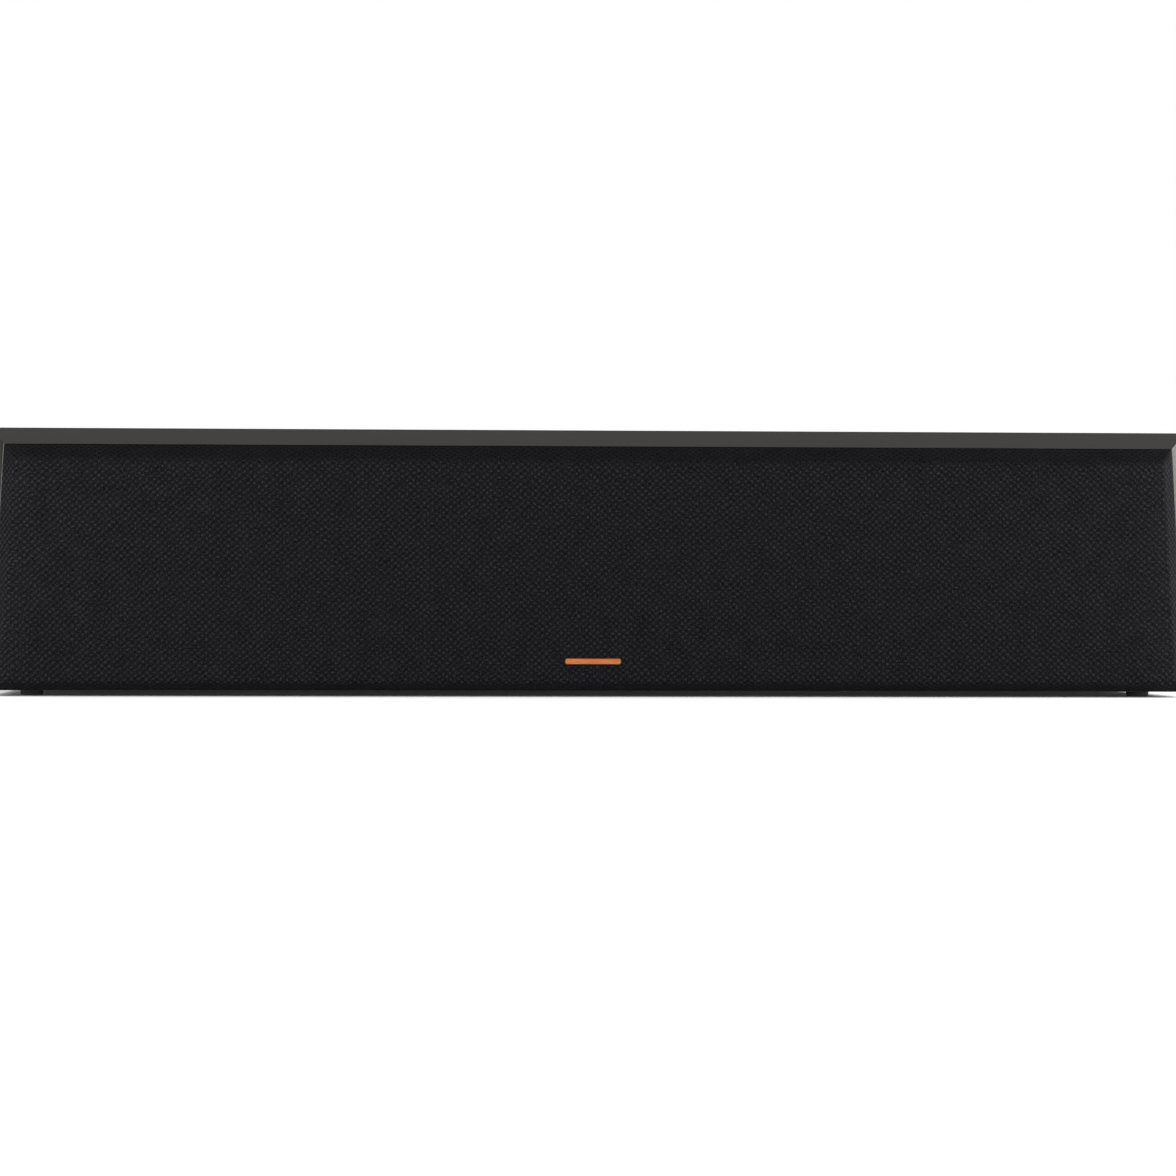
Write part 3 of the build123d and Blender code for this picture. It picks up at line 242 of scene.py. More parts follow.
# Spiders: corrugated rings of resin-dipped cotton, glued to the basket's ledge, with a short neck
# glued on the coil former that follows the stroke.
FLANGE_DEPTH = 4.5
LEDGE_DEPTH, LEDGE_INNER, LEDGE_OUTER = 26.5, 38.8, 47.2
FORMER, NECK_REACH, NECK_BEND, NECK_GLUE = 13.4, 5.0, 1.0, 0.5
SPIDER_FOLDS, FOLD_POINTS, FOLD_HEIGHT, SPIDER_CLOTH = 5, 4, 1.5, 0.6
baffle_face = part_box("front_baffle")[0].y
flange_face = baffle_face + FLANGE_DEPTH * MM


def turned(name, outline, centre, segments=96):
    """Turns a closed outline of (radius, depth) points in mm round an axis along Y.
    Its UV map holds the run round the axis, as a share, and along the outline, in metres."""
    built = bmesh.new()
    uv = built.loops.layers.uv.new("run")
    runs = [0.0]
    for (r0, d0), (r1, d1) in zip(outline, outline[1:] + outline[:1]):
        runs.append(runs[-1] + sqrt((r1 - r0) ** 2 + (d1 - d0) ** 2) * MM)
    rings = []
    for k in range(segments):
        turn = 2 * pi * k / segments
        rings.append(
            [
                built.verts.new(centre + Vector((r * cos(turn), d, r * sin(turn))) * MM)
                for r, d in outline
            ]
        )
    count = len(outline)
    for k in range(segments):
        near, far = rings[k], rings[(k + 1) % segments]
        for i in range(count):
            j = (i + 1) % count
            face = built.faces.new((near[i], near[j], far[j], far[i]))
            face.smooth = True
            shares = ((k, i), (k, i + 1), (k + 1, i + 1), (k + 1, i))
            for loop, (turn_step, run_step) in zip(face.loops, shares):
                loop[uv].uv = (turn_step / segments, runs[run_step])
    bmesh.ops.remove_doubles(built, verts=built.verts, dist=0.001 * MM)
    bmesh.ops.recalc_face_normals(built, faces=built.faces)
    return settle(name, built)


# Resin-dipped cotton: ochre, dull, its uneven threads drawn at 0.9 mm so they show.
spider_cotton, tree, shader = start_material("resin_dipped_cotton", "#b98a45", 0.75)
grain(tree, shader, 0.9, ("#a0763a", "#c99a54"), 0.08, (0.65, 0.85), detail=1.0)
neck_root, neck_end = LEDGE_DEPTH + NECK_BEND, LEDGE_DEPTH + NECK_REACH
folds_from = FORMER + 2 * NECK_BEND
fold_step = (LEDGE_INNER - folds_from) / (SPIDER_FOLDS * FOLD_POINTS)
spider_back = [(FORMER, neck_end), (FORMER, neck_root), (FORMER + NECK_BEND, LEDGE_DEPTH)]
for k in range(1, SPIDER_FOLDS * FOLD_POINTS):
    swing = FOLD_HEIGHT * sin(pi * k / FOLD_POINTS)
    spider_back.append((folds_from + k * fold_step, LEDGE_DEPTH + swing))
spider_back += [(LEDGE_INNER, LEDGE_DEPTH), (LEDGE_OUTER, LEDGE_DEPTH)]
spider_front = [(r, d - SPIDER_CLOTH) for r, d in spider_back[:1:-1]]
spider_front += [(FORMER + SPIDER_CLOTH, neck_root), (FORMER + SPIDER_CLOTH, neck_end)]
woofer_centres = {}
for n in WOOFERS:
    low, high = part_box(f"woofer_{n}_cone")
    woofer_centres[n] = Vector(((low.x + high.x) / 2, flange_face, (low.z + high.z) / 2))
for n, centre in woofer_centres.items():
    spider = turned(f"spider_{n}", spider_back + spider_front, centre)
    spider.data.materials.append(spider_cotton)
    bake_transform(spider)
    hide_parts(f"woofer_{n}_spider")

# Surrounds: moulded butyl half rolls, their lips glued to the basket flange and their skirts to
# the cone, which take up the stroke.
ROLL_MIDDLE, ROLL_RADIUS, RUBBER, ROLL_STEPS = 57.5, 3.5, 0.9, 18
LIP_OUTER, SKIRT_OUTER, SKIRT_INNER, RIM_DEPTH = 62.2, 52.0, 49.0, 5.0
# Butyl rubber: deep black with a soft sheen, slightly cloudy from the mould.
butyl, tree, shader = start_material("moulded_butyl_rubber", "#131313", 0.45)
grain(tree, shader, 1.5, ("#101010", "#191919"), 0.01, (0.4, 0.52))
roll_outside = []
roll_inside = []
for k in range(ROLL_STEPS + 1):
    turn = pi * k / ROLL_STEPS
    roll_outside.append((ROLL_MIDDLE - ROLL_RADIUS * cos(turn), -RUBBER - ROLL_RADIUS * sin(turn)))
    inner = ROLL_RADIUS - RUBBER
    roll_inside.append((ROLL_MIDDLE + inner * cos(turn), -RUBBER - inner * sin(turn)))
lip = [(LIP_OUTER, -RUBBER), (LIP_OUTER, 0), (ROLL_MIDDLE + ROLL_RADIUS - RUBBER, 0)]
skirt = [
    (SKIRT_OUTER + RUBBER, RIM_DEPTH),
    (SKIRT_INNER, RIM_DEPTH),
    (SKIRT_INNER, RIM_DEPTH - RUBBER),
    (SKIRT_OUTER, RIM_DEPTH - RUBBER),
]
for n, centre in woofer_centres.items():
    surround = turned(f"surround_{n}", roll_outside + lip + roll_inside + skirt, centre, segments=144)
    surround.data.materials.append(butyl)
    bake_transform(surround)
    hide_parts(f"woofer_{n}_surround")

# Cones: spun aluminium dishes, anodised to a copper colour, glued to the former behind and to the
# surround's skirt at the rim.
# Anodised aluminium: warm copper metal, satin, with spinning lines drawn 1.6 mm apart so they show.
SPIN_LINE = 1.6
# Blender's wave texture runs through one wave in pi / 10 of a unit.
UNIT_WAVE = pi / 10
for n, centre in woofer_centres.items():
    copper, tree, shader = start_material(
        f"copper_anodised_cone_{n}", "#b4714a", 0.34, {"Metallic": 1.0}
    )
    grain(tree, shader, 9.0, ("#a9663f", "#bd7b54"))
    place = add(tree, "ShaderNodeTexCoord").outputs["Object"]
    centred = add(tree, "ShaderNodeMapping", {"Vector": place, "Location": -centre})
    lines = add(
        tree,
        "ShaderNodeTexWave",
        {
            "Vector": centred.outputs["Vector"],
            "Scale": UNIT_WAVE / (SPIN_LINE * MM),
            "Distortion": 0.6,
            "Detail Scale": 4.0,
        },
        wave_type="RINGS",
        rings_direction="Y",
    )
    relief = add(tree, "ShaderNodeBump", {"Height": lines.outputs[1], "Distance": 0.02 * MM})
    tree.links.new(relief.outputs["Normal"], shader.inputs["Normal"])
    gloss = add(
        tree, "ShaderNodeMapRange", {"Value": lines.outputs[1], "To Min": 0.28, "To Max": 0.42}
    )
    tree.links.new(gloss.outputs[0], shader.inputs["Roughness"])
    paint(copper, f"woofer_{n}_cone")

# Trim rings: moulded plastic rings snapped over the basket flanges, flush with the baffle, where
# they hide the screws.
# Satin ABS: even black from a polished mould, with a soft highlight.
satin_abs, tree, shader = start_material("satin_black_abs", "#171717", 0.36)
grain(tree, shader, 4.0, ("#151515", "#1a1a1a"), 0.003, (0.32, 0.4))
paint(satin_abs, "woofer_trim_rings")

# Horn: one moulding whose square mouth closes in to a round throat, screwed in the baffle, with
# a phase plug on three arms before the dome.
# Horn moulding: black ABS with a fine spark-eroded texture, duller than the rings.
horn_abs, tree, shader = start_material("textured_black_abs", "#181818", 0.5)
grain(tree, shader, 0.7, ("#141414", "#1e1e1e"), 0.03, (0.44, 0.58))
paint(horn_abs, "tweeter_horn", "tweeter_phase_plug", "tweeter_rear_chamber")

# Tweeter dome: titanium foil pressed in one piece with its edge, which lies on the motor's top
# plate behind the horn.
# Titanium: grey metal with a slight warm cast, faintly uneven from the press.
titanium, tree, shader = start_material("pressed_titanium", "#a9a49d", 0.3, {"Metallic": 1.0})
grain(tree, shader, 1.5, ("#9a958e", "#b4afa8"), 0.004, (0.24, 0.36))
paint(titanium, "tweeter_diaphragm")

# Terminal cup and ports: injection moulded tray and flared tubes, let into the rear board, the
# tray held by screws and the tubes by glue.
# Textured ABS: black, matt, with a coarse mould grain.
cup_abs, tree, shader = start_material("grained_black_abs", "#161616", 0.55)
grain(tree, shader, 1.1, ("#121212", "#1c1c1c"), 0.05, (0.48, 0.64))
paint(cup_abs, "terminal_cup", "left_port_tube", "right_port_tube")

# Mounting screws: steel pan heads with a cross recess, blackened, four through each basket, four
# in the horn and four in the terminal cup, each driven home until it sits, at any angle.
SCREW_HEAD, SCREW_HEAD_HEIGHT, SCREW_SHANK, SCREW_LENGTH, SCREW_TIP = 3.6, 2.2, 1.9, 18.0, 1.5
RECESS_LENGTH, RECESS_WIDTH, RECESS_DEPTH, SCREW_SEED = 4.0, 0.9, 1.2, 7
BASKET_SCREW, HORN_SCREW, CUP_SCREW_ACROSS, CUP_SCREW_UP = 48.79, 65.0, 45.0, 41.0
screw_low, screw_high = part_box("mounting_screws")
driver_height = woofer_centres[1].z
screw_places = []
for across in (-1, 1):
    for up in (-1, 1):
        for centre in woofer_centres.values():
            corner = Vector((across * BASKET_SCREW, 0, up * BASKET_SCREW)) * MM
            screw_places.append((centre + corner, 0.0))
        head_under = screw_low.y + SCREW_HEAD_HEIGHT * MM
        corner = Vector((across * HORN_SCREW, 0, up * HORN_SCREW)) * MM
        screw_places.append((Vector((0, head_under, driver_height)) + corner, 0.0))
        head_under = screw_high.y - SCREW_HEAD_HEIGHT * MM
        corner = Vector((across * CUP_SCREW_ACROSS, 0, up * CUP_SCREW_UP)) * MM
        screw_places.append((Vector((0, head_under, driver_height)) + corner, pi))
screw_mesh = bpy.data.meshes.new("screw_places")
screw_mesh.from_pydata([place for place, turn in screw_places], [], [])
facing = screw_mesh.attributes.new("facing", "FLOAT", "POINT")
for k, (place, turn) in enumerate(screw_places):
    facing.data[k].value = turn
screws = bpy.data.objects.new("pan_head_screws", screw_mesh)
bpy.context.scene.collection.objects.link(screws)
# The head's outline from its crown to its seat, as shares of its radius and height.
HEAD_OUTLINE = ((0.0, -1.0), (0.55, -0.97), (0.8, -0.85), (0.95, -0.6), (1.0, -0.3), (1.0, 0.0))
pan_head = [(SCREW_HEAD * r, SCREW_HEAD_HEIGHT * d) for r, d in HEAD_OUTLINE]
shank = [(SCREW_SHANK, 0.0), (SCREW_SHANK, SCREW_LENGTH - SCREW_TIP), (0.0, SCREW_LENGTH)]
blank = turned("screw_blank", pan_head + shank, Vector((0, 0, 0)), segments=32)
# Blackened steel: blue-black oxide over metal, satin, rubbed paler in patches.
black_steel, tree, shader = start_material("blackened_steel", "#26272a", 0.4, {"Metallic": 0.7})
grain(tree, shader, 0.9, ("#1f2023", "#34353a"), 0.01, (0.34, 0.5))

screw_tree = bpy.data.node_groups.new("screws_on_points", "GeometryNodeTree")
screw_inputs = {
    "Places": ("NodeSocketGeometry", None),
    "Blank": ("NodeSocketObject", blank),
    "Recess Length": ("NodeSocketFloat", RECESS_LENGTH * MM),
    "Recess Width": ("NodeSocketFloat", RECESS_WIDTH * MM),
    "Recess Depth": ("NodeSocketFloat", RECESS_DEPTH * MM),
    "Head Height": ("NodeSocketFloat", SCREW_HEAD_HEIGHT * MM),
    "Seed": ("NodeSocketInt", SCREW_SEED),
    "Finish": ("NodeSocketMaterial", black_steel),
}
modifier = screws.modifiers.new("screws_on_points", "NODES")
for name, (kind, value) in screw_inputs.items():
    screw_tree.interface.new_socket(name, in_out="INPUT", socket_type=kind)
screw_tree.interface.new_socket("Screws", in_out="OUTPUT", socket_type="NodeSocketGeometry")
given = add(screw_tree, "NodeGroupInput").outputs
deep = add(
    screw_tree,
    "ShaderNodeMath",
    {"Value": given["Recess Depth"], "Value_001": 2.0},
    operation="MULTIPLY",
).outputs[0]
above = add(
    screw_tree,
    "ShaderNodeMath",
    {"Value": given["Head Height"], "Value_001": -1.0},
    operation="MULTIPLY",
).outputs[0]
uncut = add(screw_tree, "GeometryNodeObjectInfo", {"Object": given["Blank"]}).outputs["Geometry"]
cut = add(screw_tree, "GeometryNodeMeshBoolean", {"Mesh 1": uncut}, operation="DIFFERENCE")
for long_side, short_side in (("X", "Z"), ("Z", "X")):
    size = add(
        screw_tree,
        "ShaderNodeCombineXYZ",
        {long_side: given["Recess Length"], short_side: given["Recess Width"], "Y": deep},
    ).outputs[0]
    bar = add(screw_tree, "GeometryNodeMeshCube", {"Size": size}).outputs["Mesh"]
    lifted = add(screw_tree, "ShaderNodeCombineXYZ", {"Y": above}).outputs[0]
    moved = add(screw_tree, "GeometryNodeTransform", {"Geometry": bar, "Translation": lifted})
    screw_tree.links.new(moved.outputs["Geometry"], cut.inputs["Mesh 2"])
spin = add(
    screw_tree, "FunctionNodeRandomValue", {"Max_001": 2 * pi, "Seed": given["Seed"]}
).outputs[1]
turn = add(screw_tree, "GeometryNodeInputNamedAttribute", {"Name": "facing"}, data_type="FLOAT")
angles = add(
    screw_tree, "ShaderNodeCombineXYZ", {"Y": spin, "Z": turn.outputs["Attribute"]}
).outputs[0]
rotation = add(screw_tree, "FunctionNodeEulerToRotation", {"Euler": angles}).outputs[0]
placed = add(
    screw_tree,
    "GeometryNodeInstanceOnPoints",
    {"Points": given["Places"], "Instance": cut.outputs["Mesh"], "Rotation": rotation},
).outputs["Instances"]
whole = add(screw_tree, "GeometryNodeRealizeInstances", {"Geometry": placed}).outputs["Geometry"]
finished = add(
    screw_tree, "GeometryNodeSetMaterial", {"Geometry": whole, "Material": given["Finish"]}
).outputs["Geometry"]
add(screw_tree, "NodeGroupOutput", {"Screws": finished})
modifier.node_group = screw_tree
for socket in screw_tree.interface.items_tree:
    if socket.in_out == "INPUT" and screw_inputs[socket.name][1] is not None:
        modifier[socket.identifier] = screw_inputs[socket.name][1]
depsgraph = bpy.context.evaluated_depsgraph_get()
screws.data = bpy.data.meshes.new_from_object(screws.evaluated_get(depsgraph))
screws.modifiers.clear()
bpy.data.objects.remove(blank)
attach(screws, "cabinet")
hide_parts("mounting_screws")

# Binding posts and jumper straps: turned and stamped brass, gold plated, the posts set through
# the cup's floor and each strap across the two posts of one colour.
# Gold plate: warm yellow metal, bright, with a slightly uneven gloss.
gold, tree, shader = start_material("gold_plated_brass", "#d9a94a", 0.22, {"Metallic": 1.0})
grain(tree, shader, 0.6, ("#cf9d40", "#e2b558"), 0.006, (0.18, 0.28))
paint(gold, "binding_posts", "jumper_straps")

# Post caps: moulded plastic nuts with a knurled grip, red and black, which turn on the posts'
# threads and clamp the wire.
# Glossy ABS: clean colour with a sharp highlight, slightly uneven from the mould.
for colour, hex_code, tones in (
    ("red", "#b81616", ("#ad1212", "#c01c1c")),
    ("black", "#161616", ("#131313", "#1a1a1a")),
):
    cap_abs, tree, shader = start_material(f"glossy_{colour}_abs", hex_code, 0.22)
    grain(tree, shader, 2.0, tones, 0.003, (0.18, 0.26))
    paint(cap_abs, f"cap_upper_{colour}", f"cap_lower_{colour}")

# Crossover: hardboard plate glued to the bottom board, with copper coils, film capacitors and
# cement resistors glued on it, and twin leads in soft sleeves to the drivers and the posts.
# Hardboard: dark brown pressed fibre with a slight gloss.
hardboard, tree, shader = start_material("brown_hardboard", "#6b4a30", 0.5)
grain(tree, shader, 1.0, ("#593b25", "#7b573a"), 0.03, (0.42, 0.62), detail=6.0)
paint(hardboard, "crossover_board")
paint(enamel_wire, "crossover_inductors")

# Polyester film: yellow wrap, glossy, with faint winding lines.
film, tree, shader = start_material("yellow_polyester_film", "#c9982a", 0.28)
grain(tree, shader, 1.2, ("#bf8d22", "#d3a436"), 0.01, (0.24, 0.34), stretch=(1, 0.05, 1))
paint(film, "crossover_capacitors")

# Cement: off-white ceramic block, matt and sandy.
cement, tree, shader = start_material("sand_cement", "#cfcdc2", 0.9)
grain(tree, shader, 0.8, ("#bdbbb0", "#dcdad0"), 0.08, detail=6.0)
paint(cement, "crossover_resistors")

# Soft vinyl sleeve: dark grey with a dull, slightly uneven shine.
sleeve, tree, shader = start_material("soft_vinyl_sleeve", "#262626", 0.45)
grain(tree, shader, 3.0, ("#212121", "#2d2d2d"), 0.02, (0.38, 0.54))
paint(sleeve, "internal_wiring")

# Grille frame: one moulded lattice with sloping edges, a window before each driver and pockets
# for its magnets, which meet their partners in the baffle.
# Matt ABS: deep black with a fine mould texture that kills the shine behind the cloth.
frame_abs, tree, shader = start_material("matt_black_abs", "#141414", 0.6)
grain(tree, shader, 1.0, ("#101010", "#1a1a1a"), 0.04, (0.55, 0.7))
paint(frame_abs, "grille_frame")
# Nickel plate: bright, slightly yellow metal.
nickel, tree, shader = start_material("nickel_plated_magnet", "#c9c4b8", 0.2, {"Metallic": 1.0})
grain(tree, shader, 1.5, ("#bfbaae", "#d2cdc2"), 0.003, (0.16, 0.26))
paint(nickel, "grille_magnets", "baffle_magnets")

# Grille cloth: open black polyester weave, stretched over the frame's face and sloping edges and
# glued down behind them in a narrow hem.
CLOTH, CLOTH_OFF_BAFFLE, FOLD_RADIUS, HEM = 0.5, 0.2, 4.0, 5.0
SLOPE_TOP, SLOPE_BOTTOM, SLOPE_SIDE, SIDE_INSET, FRONT_HEIGHT = 10.0, 5.6, 9.0, 9.5, 172.6
SIDE_LEAN = SIDE_INSET / FRONT_HEIGHT
FACE_ROWS, FACE_COLUMNS = 16, 72
FOLD_DEPTHS = (0.0, 0.06, 0.25, 0.55, 1.0, 1.6, 2.4, 4.0, 6.0, 8.0, 10.0)
cloth_low, cloth_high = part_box("grille_cloth")
slope_depth = (cloth_high.y - cloth_low.y) / MM
fold_depths = FOLD_DEPTHS + (slope_depth - CLOTH_OFF_BAFFLE,)


def edge_run(slope):
    """The cloth's way over one edge: (step outwards, depth, length of cloth) in mm, from the face."""
    turn = atan2(slope_depth, slope)
    steps = []
    for depth in fold_depths:
        if depth < FOLD_RADIUS * (1 - cos(turn)):
            angle = acos(1 - depth / FOLD_RADIUS)
            steps.append((FOLD_RADIUS * (sin(angle) - tan(turn / 2)), depth, FOLD_RADIUS * angle))
        else:
            past = (depth - FOLD_RADIUS * (1 - cos(turn))) / sin(turn)
            steps.append((slope * depth / slope_depth, depth, FOLD_RADIUS * turn + past))
    return steps


def cloth_half_width(z):
    """Half the width of the cloth's back outline at a height, in metres: its ends lean inwards."""
    return cloth_high.x - SIDE_LEAN * (z - cloth_low.z)


rows = []
bottom_edge, top_edge = cloth_low.z + SLOPE_BOTTOM * MM, cloth_high.z - SLOPE_TOP * MM
bottom_run, top_run, side_run = edge_run(SLOPE_BOTTOM), edge_run(SLOPE_TOP), edge_run(SLOPE_SIDE)
face_bottom, face_top = bottom_edge - bottom_run[0][0] * MM, top_edge + top_run[0][0] * MM
for step, depth, length in reversed(bottom_run[1:]):
    rows.append((bottom_edge - step * MM, depth, face_bottom - length * MM))
for j in range(FACE_ROWS + 1):
    z = face_bottom + (face_top - face_bottom) * j / FACE_ROWS
    rows.append((z, 0.0, z))
for step, depth, length in top_run[1:]:
    rows.append((top_edge + step * MM, depth, face_top + length * MM))

built = bmesh.new()
uv = built.loops.layers.uv.new("cloth")
flat_place = {}
grid = []
for z, row_depth, v in rows:
    face_half = cloth_half_width(z) - (SLOPE_SIDE - side_run[0][0]) * MM
    columns = [(face_half * (2 * i / FACE_COLUMNS - 1), 0.0, 0.0) for i in range(FACE_COLUMNS + 1)]
    for step, depth, length in side_run[1:]:
        reach = face_half + (step - side_run[0][0]) * MM
        columns.insert(0, (-reach, depth, -length))
        columns.append((reach, depth, length))
    grid.append([])
    for x, depth, length in columns:
        vert = built.verts.new((x, cloth_low.y + max(depth, row_depth) * MM, z))
        u = max(-face_half, min(face_half, x)) + length * MM
        flat_place[vert] = Vector((u, v))
        grid[-1].append(vert)
for low_row, high_row in zip(grid, grid[1:]):
    for i in range(len(low_row) - 1):
        built.faces.new((low_row[i], low_row[i + 1], high_row[i + 1], high_row[i]))
right_rim, left_rim = [row[-1] for row in grid[1:]], [row[0] for row in grid[-2:0:-1]]
edge_loop = grid[0] + right_rim + grid[-1][-2::-1] + left_rim
hem_loop = []
hem_verts = {}
for vert in edge_loop:
    z = max(cloth_low.z + HEM * MM, min(cloth_high.z - HEM * MM, vert.co.z))
    reach = cloth_half_width(z) - HEM * MM
    x = max(-reach, min(reach, vert.co.x))
    key = (round(x, 6), round(z, 6))
    if key not in hem_verts:
        hem_verts[key] = built.verts.new((x, vert.co.y, z))
        flat_place[hem_verts[key]] = flat_place[vert] + Vector((vert.co.x - x, vert.co.z - z))
    hem_loop.append(hem_verts[key])
for k in range(len(edge_loop)):
    corners = (edge_loop[k - 1], hem_loop[k - 1], hem_loop[k], edge_loop[k])
    built.faces.new(dict.fromkeys(corners))
for face in built.faces:
    face.smooth = True
    for loop in face.loops:
        loop[uv].uv = flat_place[loop.vert]
bmesh.ops.recalc_face_normals(built, faces=built.faces)
cloth = settle("stretched_cloth", built)
thickness = cloth.modifiers.new("cloth_thickness", "SOLIDIFY")
thickness.thickness = CLOTH * MM
thickness.offset = -1.0

# Polyester weave: dull black yarn, thin between the crossings. The photograph shows the fine mesh
# as pale dots about 5 mm apart in slanting rows, and so it is drawn, darker on the upper slope,
# which the bevel shades, and paler at both ends, which catch the light from the sides.
WEAVE_ACROSS, WEAVE_UP, SLANT_LEFT, SLANT_RIGHT = 5.16, 4.65, 0.38, 0.6
YARN_SWAY, SWAY_SIZE, CREST_LOW, CREST_HIGH, CREST_HEIGHT = 3.6, 7.0, 0.1, 0.95, 0.08
HOLE_LOW, HOLE_HIGH, HOLE_COVER = -0.9, -0.7, 0.88
YARN_FLECK, CLOTH_CLOUD, CLOUD_SHARE, FLECK_DARK, FLECK_PALE = 1.1, 14.0, 0.15, 0.2, 1.8
SHADED_REACH, SHADED_EDGE, PALE_REACH, PALE_END = 3.5, 0.25, 40.0, 1.35
weave, tree, shader = start_material(
    "open_polyester_weave", "#252527", 0.9, {"Specular IOR Level": 0.06}
)
flat = add(tree, "ShaderNodeUVMap", uv_map="cloth").outputs["UV"]
wobble = add(
    tree, "ShaderNodeTexNoise", {"Vector": flat, "Scale": 1 / (SWAY_SIZE * MM), "Detail": 2.0}
)
shaken = add(
    tree,
    "ShaderNodeVectorMath",
    {"Vector": wobble.outputs["Color"], "Vector_001": (YARN_SWAY * MM,) * 3, "Vector_002": flat},
    operation="MULTIPLY_ADD",
)
parts = add(tree, "ShaderNodeSeparateXYZ", {"Vector": shaken.outputs["Vector"]})
turns = []
for axis, pitch in (("X", WEAVE_ACROSS), ("Y", WEAVE_UP)):
    turns.append(
        add(
            tree,
            "ShaderNodeMath",
            {"Value": parts.outputs[axis], "Value_001": 2 * pi / (pitch * MM)},
            operation="MULTIPLY",
        ).outputs[0]
    )
slants = []
for way in ("SUBTRACT", "ADD"):
    along = add(tree, "ShaderNodeMath", {"Value": turns[0], "Value_001": turns[1]}, operation=way)
    crest = add(tree, "ShaderNodeMath", {"Value": along.outputs[0]}, operation="COSINE")
    slants.append(crest.outputs[0])
share = add(
    tree,
    "ShaderNodeMapRange",
    {
        "Value": parts.outputs["X"],
        "From Min": cloth_low.x,
        "From Max": cloth_high.x,
        "To Min": SLANT_LEFT,
        "To Max": SLANT_RIGHT,
    },
).outputs[0]
dots = add(
    tree, "ShaderNodeMix", {"Factor_Float": share, "A_Float": slants[0], "B_Float": slants[1]}
).outputs[0]
lit = add(
    tree, "ShaderNodeMapRange", {"Value": dots, "From Min": CREST_LOW, "From Max": CREST_HIGH}
).outputs[0]
over_edge = add(
    tree,
    "ShaderNodeMapRange",
    {
        "Value": parts.outputs["Y"],
        "From Min": face_top,
        "From Max": face_top + SHADED_REACH * MM,
        "To Min": 1.0,
        "To Max": SHADED_EDGE,
    },
).outputs[0]
level = add(
    tree, "ShaderNodeMath", {"Value": lit, "Value_001": over_edge}, operation="MULTIPLY"
).outputs[0]
yarn = add(
    tree,
    "ShaderNodeMix",
    {"Factor_Float": level, "A_Color": linear("#141416"), "B_Color": linear("#262629")},
    data_type="RGBA",
).outputs[2]
clouds = []
for size in (YARN_FLECK, CLOTH_CLOUD):
    cloud = add(
        tree, "ShaderNodeTexNoise", {"Vector": flat, "Scale": 1 / (size * MM), "Detail": 1.0}
    )
    clouds.append(cloud.outputs[0])
cloudy = add(
    tree,
    "ShaderNodeMath",
    {"Value": clouds[1], "Value_001": CLOUD_SHARE, "Value_002": clouds[0]},
    operation="MULTIPLY_ADD",
)
shade = add(
    tree,
    "ShaderNodeMapRange",
    {
        "Value": cloudy.outputs[0],
        "From Min": NOISE_LOW + CLOUD_SHARE / 2,
        "From Max": NOISE_HIGH + CLOUD_SHARE / 2,
        "To Min": FLECK_DARK,
        "To Max": FLECK_PALE,
    },
).outputs[0]
aside = add(tree, "ShaderNodeMath", {"Value": parts.outputs["X"]}, operation="ABSOLUTE").outputs[0]
upright = add(
    tree,
    "ShaderNodeMath",
    {"Value": parts.outputs["Y"], "Value_001": SIDE_LEAN, "Value_002": aside},
    operation="MULTIPLY_ADD",
).outputs[0]
end_line = cloth_high.x + SIDE_LEAN * cloth_low.z + (side_run[-1][2] - SLOPE_SIDE) * MM
pale = add(
    tree,
    "ShaderNodeMapRange",
    {
        "Value": upright,
        "From Min": end_line - PALE_REACH * MM,
        "From Max": end_line,
        "To Min": 1.0,
        "To Max": PALE_END,
    },
).outputs[0]
tone = add(
    tree, "ShaderNodeMath", {"Value": shade, "Value_001": pale}, operation="MULTIPLY"
).outputs[0]
uneven = add(
    tree, "ShaderNodeVectorMath", {"Vector": yarn, "Scale": tone}, operation="SCALE"
).outputs["Vector"]
tree.links.new(uneven, shader.inputs["Base Color"])
cover = add(
    tree,
    "ShaderNodeMapRange",
    {"Value": dots, "From Min": HOLE_LOW, "From Max": HOLE_HIGH, "To Min": HOLE_COVER},
).outputs[0]
tree.links.new(cover, shader.inputs["Alpha"])
relief = add(tree, "ShaderNodeBump", {"Height": dots, "Distance": CREST_HEIGHT * MM})
tree.links.new(relief.outputs["Normal"], shader.inputs["Normal"])
cloth.data.materials.append(weave)

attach(cloth, "grille")
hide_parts("grille_cloth")

# Badge: a plain bar stamped from copper sheet, brushed along its length and pinned through the
# cloth low in the middle.
# Brushed copper: fine lines along the bar, drawn 0.35 mm apart so they show.
badge_copper, tree, shader = start_material("brushed_copper", "#b8683a", 0.3, {"Metallic": 1.0})
grain(tree, shader, 0.35, ("#a85a2e", "#c67a4a"), 0.006, (0.24, 0.4), stretch=(0.04, 1, 1))
paint(badge_copper, "grille_badge")

# Studio: a pale seamless floor, white to the lens but for the speaker's own shadow, a soft white
# room with a darker wall at the left, and soft boxes: one to each side in front, one beside the
# right end for its bevel, one behind.
FLOOR_REACH, FLOOR_LIFT, SHADOW_LIFT, SHADOW_REACH = 12.0, 0.85, 0.02, 0.12
ROOM_LIGHT, ROOM_WHITE, DARK_WALL, WALL_FROM, WALL_TO = 0.16, 1.0, 0.15, -0.9, -0.6
SOFT_BOX_WIDTH, SOFT_BOX_HEIGHT, SOFT_BOX_AIM = 0.9, 0.36, (0, 0, 0.1)
WHITE = (1, 1, 1, 1)


def strength_by_ray(tree, cast, seen):
    """A light's strength: what it casts on things, and what the lens and reflections see of it."""
    path = add(tree, "ShaderNodeLightPath").outputs
    direct = path["Is Camera Ray"]
    for kind in ("Is Glossy Ray", "Is Transmission Ray"):
        direct = add(
            tree, "ShaderNodeMath", {"Value": direct, "Value_001": path[kind]}, operation="MAXIMUM"
        ).outputs[0]
    return add(
        tree, "ShaderNodeMapRange", {"Value": direct, "To Min": cast, "To Max": seen}
    ).outputs[0]


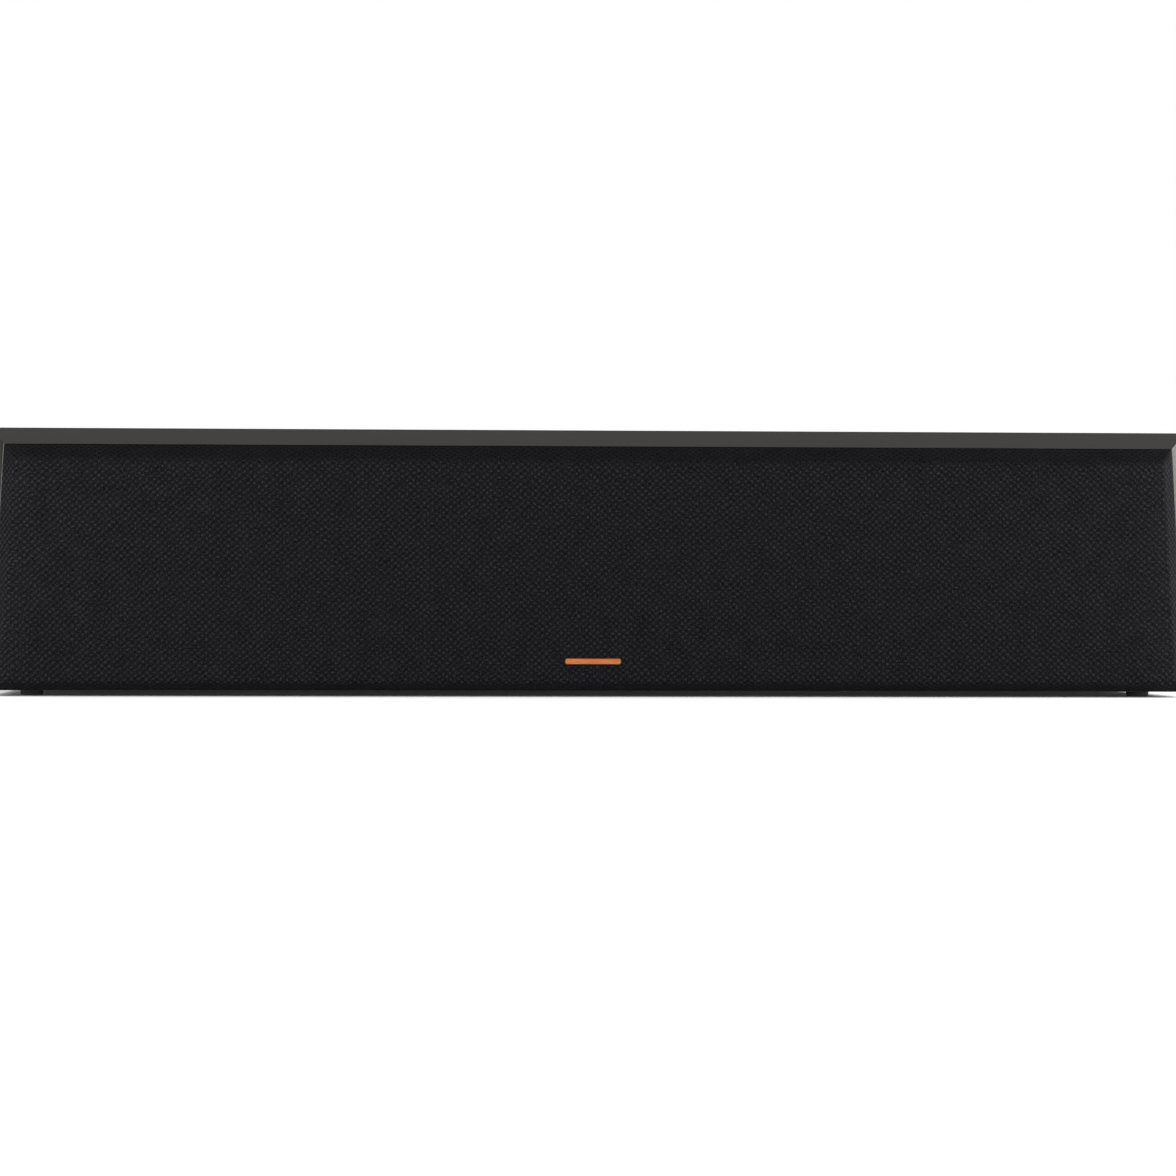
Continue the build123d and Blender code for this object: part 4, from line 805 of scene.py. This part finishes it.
floor_mesh = bpy.data.meshes.new("studio_floor")
corners = [
    (across * FLOOR_REACH, along * FLOOR_REACH, 0)
    for across, along in ((-1, -1), (1, -1), (1, 1), (-1, 1))
]
floor_mesh.from_pydata(corners, [], [(0, 1, 2, 3)])
floor = bpy.data.objects.new("studio_floor", floor_mesh)
bpy.context.scene.collection.objects.link(floor)
# White paper: matt, lit up so that it burns out to white, but not where the speaker shades it.
floor_paper, tree, shader = start_material("white_paper", "#f2f2f2", 0.9, {"Emission Color": WHITE})
open_air = add(tree, "ShaderNodeAmbientOcclusion", {"Distance": SHADOW_REACH}).outputs["AO"]
clear = add(tree, "ShaderNodeMapRange", {"Value": open_air, "To Min": SHADOW_LIFT}).outputs[0]
lift = add(
    tree,
    "ShaderNodeMath",
    {"Value": strength_by_ray(tree, 0.0, FLOOR_LIFT), "Value_001": clear},
    operation="MULTIPLY",
).outputs[0]
tree.links.new(lift, shader.inputs["Emission Strength"])
floor_mesh.materials.append(floor_paper)

world = bpy.data.worlds.new("white_room")
world.use_nodes = True
tree = world.node_tree
tree.nodes.clear()
way = add(tree, "ShaderNodeTexCoord").outputs["Generated"]
across = add(tree, "ShaderNodeSeparateXYZ", {"Vector": way}).outputs["X"]
wall = add(
    tree,
    "ShaderNodeMapRange",
    {"Value": across, "From Min": WALL_FROM, "From Max": WALL_TO, "To Min": DARK_WALL},
).outputs[0]
lens = add(tree, "ShaderNodeLightPath").outputs["Is Camera Ray"]
walls = add(
    tree, "ShaderNodeMath", {"Value": wall, "Value_001": lens}, operation="MAXIMUM"
).outputs[0]
strength = add(
    tree,
    "ShaderNodeMath",
    {"Value": strength_by_ray(tree, ROOM_LIGHT, ROOM_WHITE), "Value_001": walls},
    operation="MULTIPLY",
).outputs[0]
room = add(tree, "ShaderNodeBackground", {"Color": WHITE, "Strength": strength})
add(tree, "ShaderNodeOutputWorld", {"Surface": room.outputs["Background"]})
bpy.context.scene.world = world

for name, place, power in (
    ("right_soft_box", (1.05, -1.05, 0.2), 11.7),
    ("left_soft_box", (-1.05, -1.05, 0.2), 13.1),
    ("side_soft_box", (1.3, 0.0, 0.4), 7.0),
    ("rear_soft_box", (0.0, 1.6, 1.1), 18.0),
):
    lamp = bpy.data.lights.new(name, "AREA")
    lamp.energy = power
    lamp.shape = "RECTANGLE"
    lamp.size, lamp.size_y = SOFT_BOX_WIDTH, SOFT_BOX_HEIGHT
    box = bpy.data.objects.new(name, lamp)
    turn = (Vector(SOFT_BOX_AIM) - Vector(place)).to_track_quat("-Z", "Y")
    box.matrix_world = Matrix.Translation(place) @ turn.to_matrix().to_4x4()
    bpy.context.scene.collection.objects.link(box)

# Camera, where the photograph was taken from: 3 m in front, left of the middle and low down,
# with a long lens turned a little to the right.
CAMERA_PLACE, FILM_WIDTH, FOCAL_LENGTH = (-0.1632, -3.0, 0.060), 36.0, 123.36
CAMERA_TURN, CAMERA_TILT, CAMERA_ROLL = -3.238, 90.334, 0.139
camera_data = bpy.data.cameras.new("camera")
camera_data.sensor_width = FILM_WIDTH
camera_data.lens = FOCAL_LENGTH
camera = bpy.data.objects.new("camera", camera_data)
camera.matrix_world = (
    Matrix.Translation(CAMERA_PLACE)
    @ Matrix.Rotation(radians(CAMERA_TURN), 4, "Z")
    @ Matrix.Rotation(radians(CAMERA_TILT), 4, "X")
    @ Matrix.Rotation(radians(CAMERA_ROLL), 4, "Z")
)
bpy.context.scene.collection.objects.link(camera)
bpy.context.scene.camera = camera
bpy.context.scene.view_settings.view_transform = "Standard"
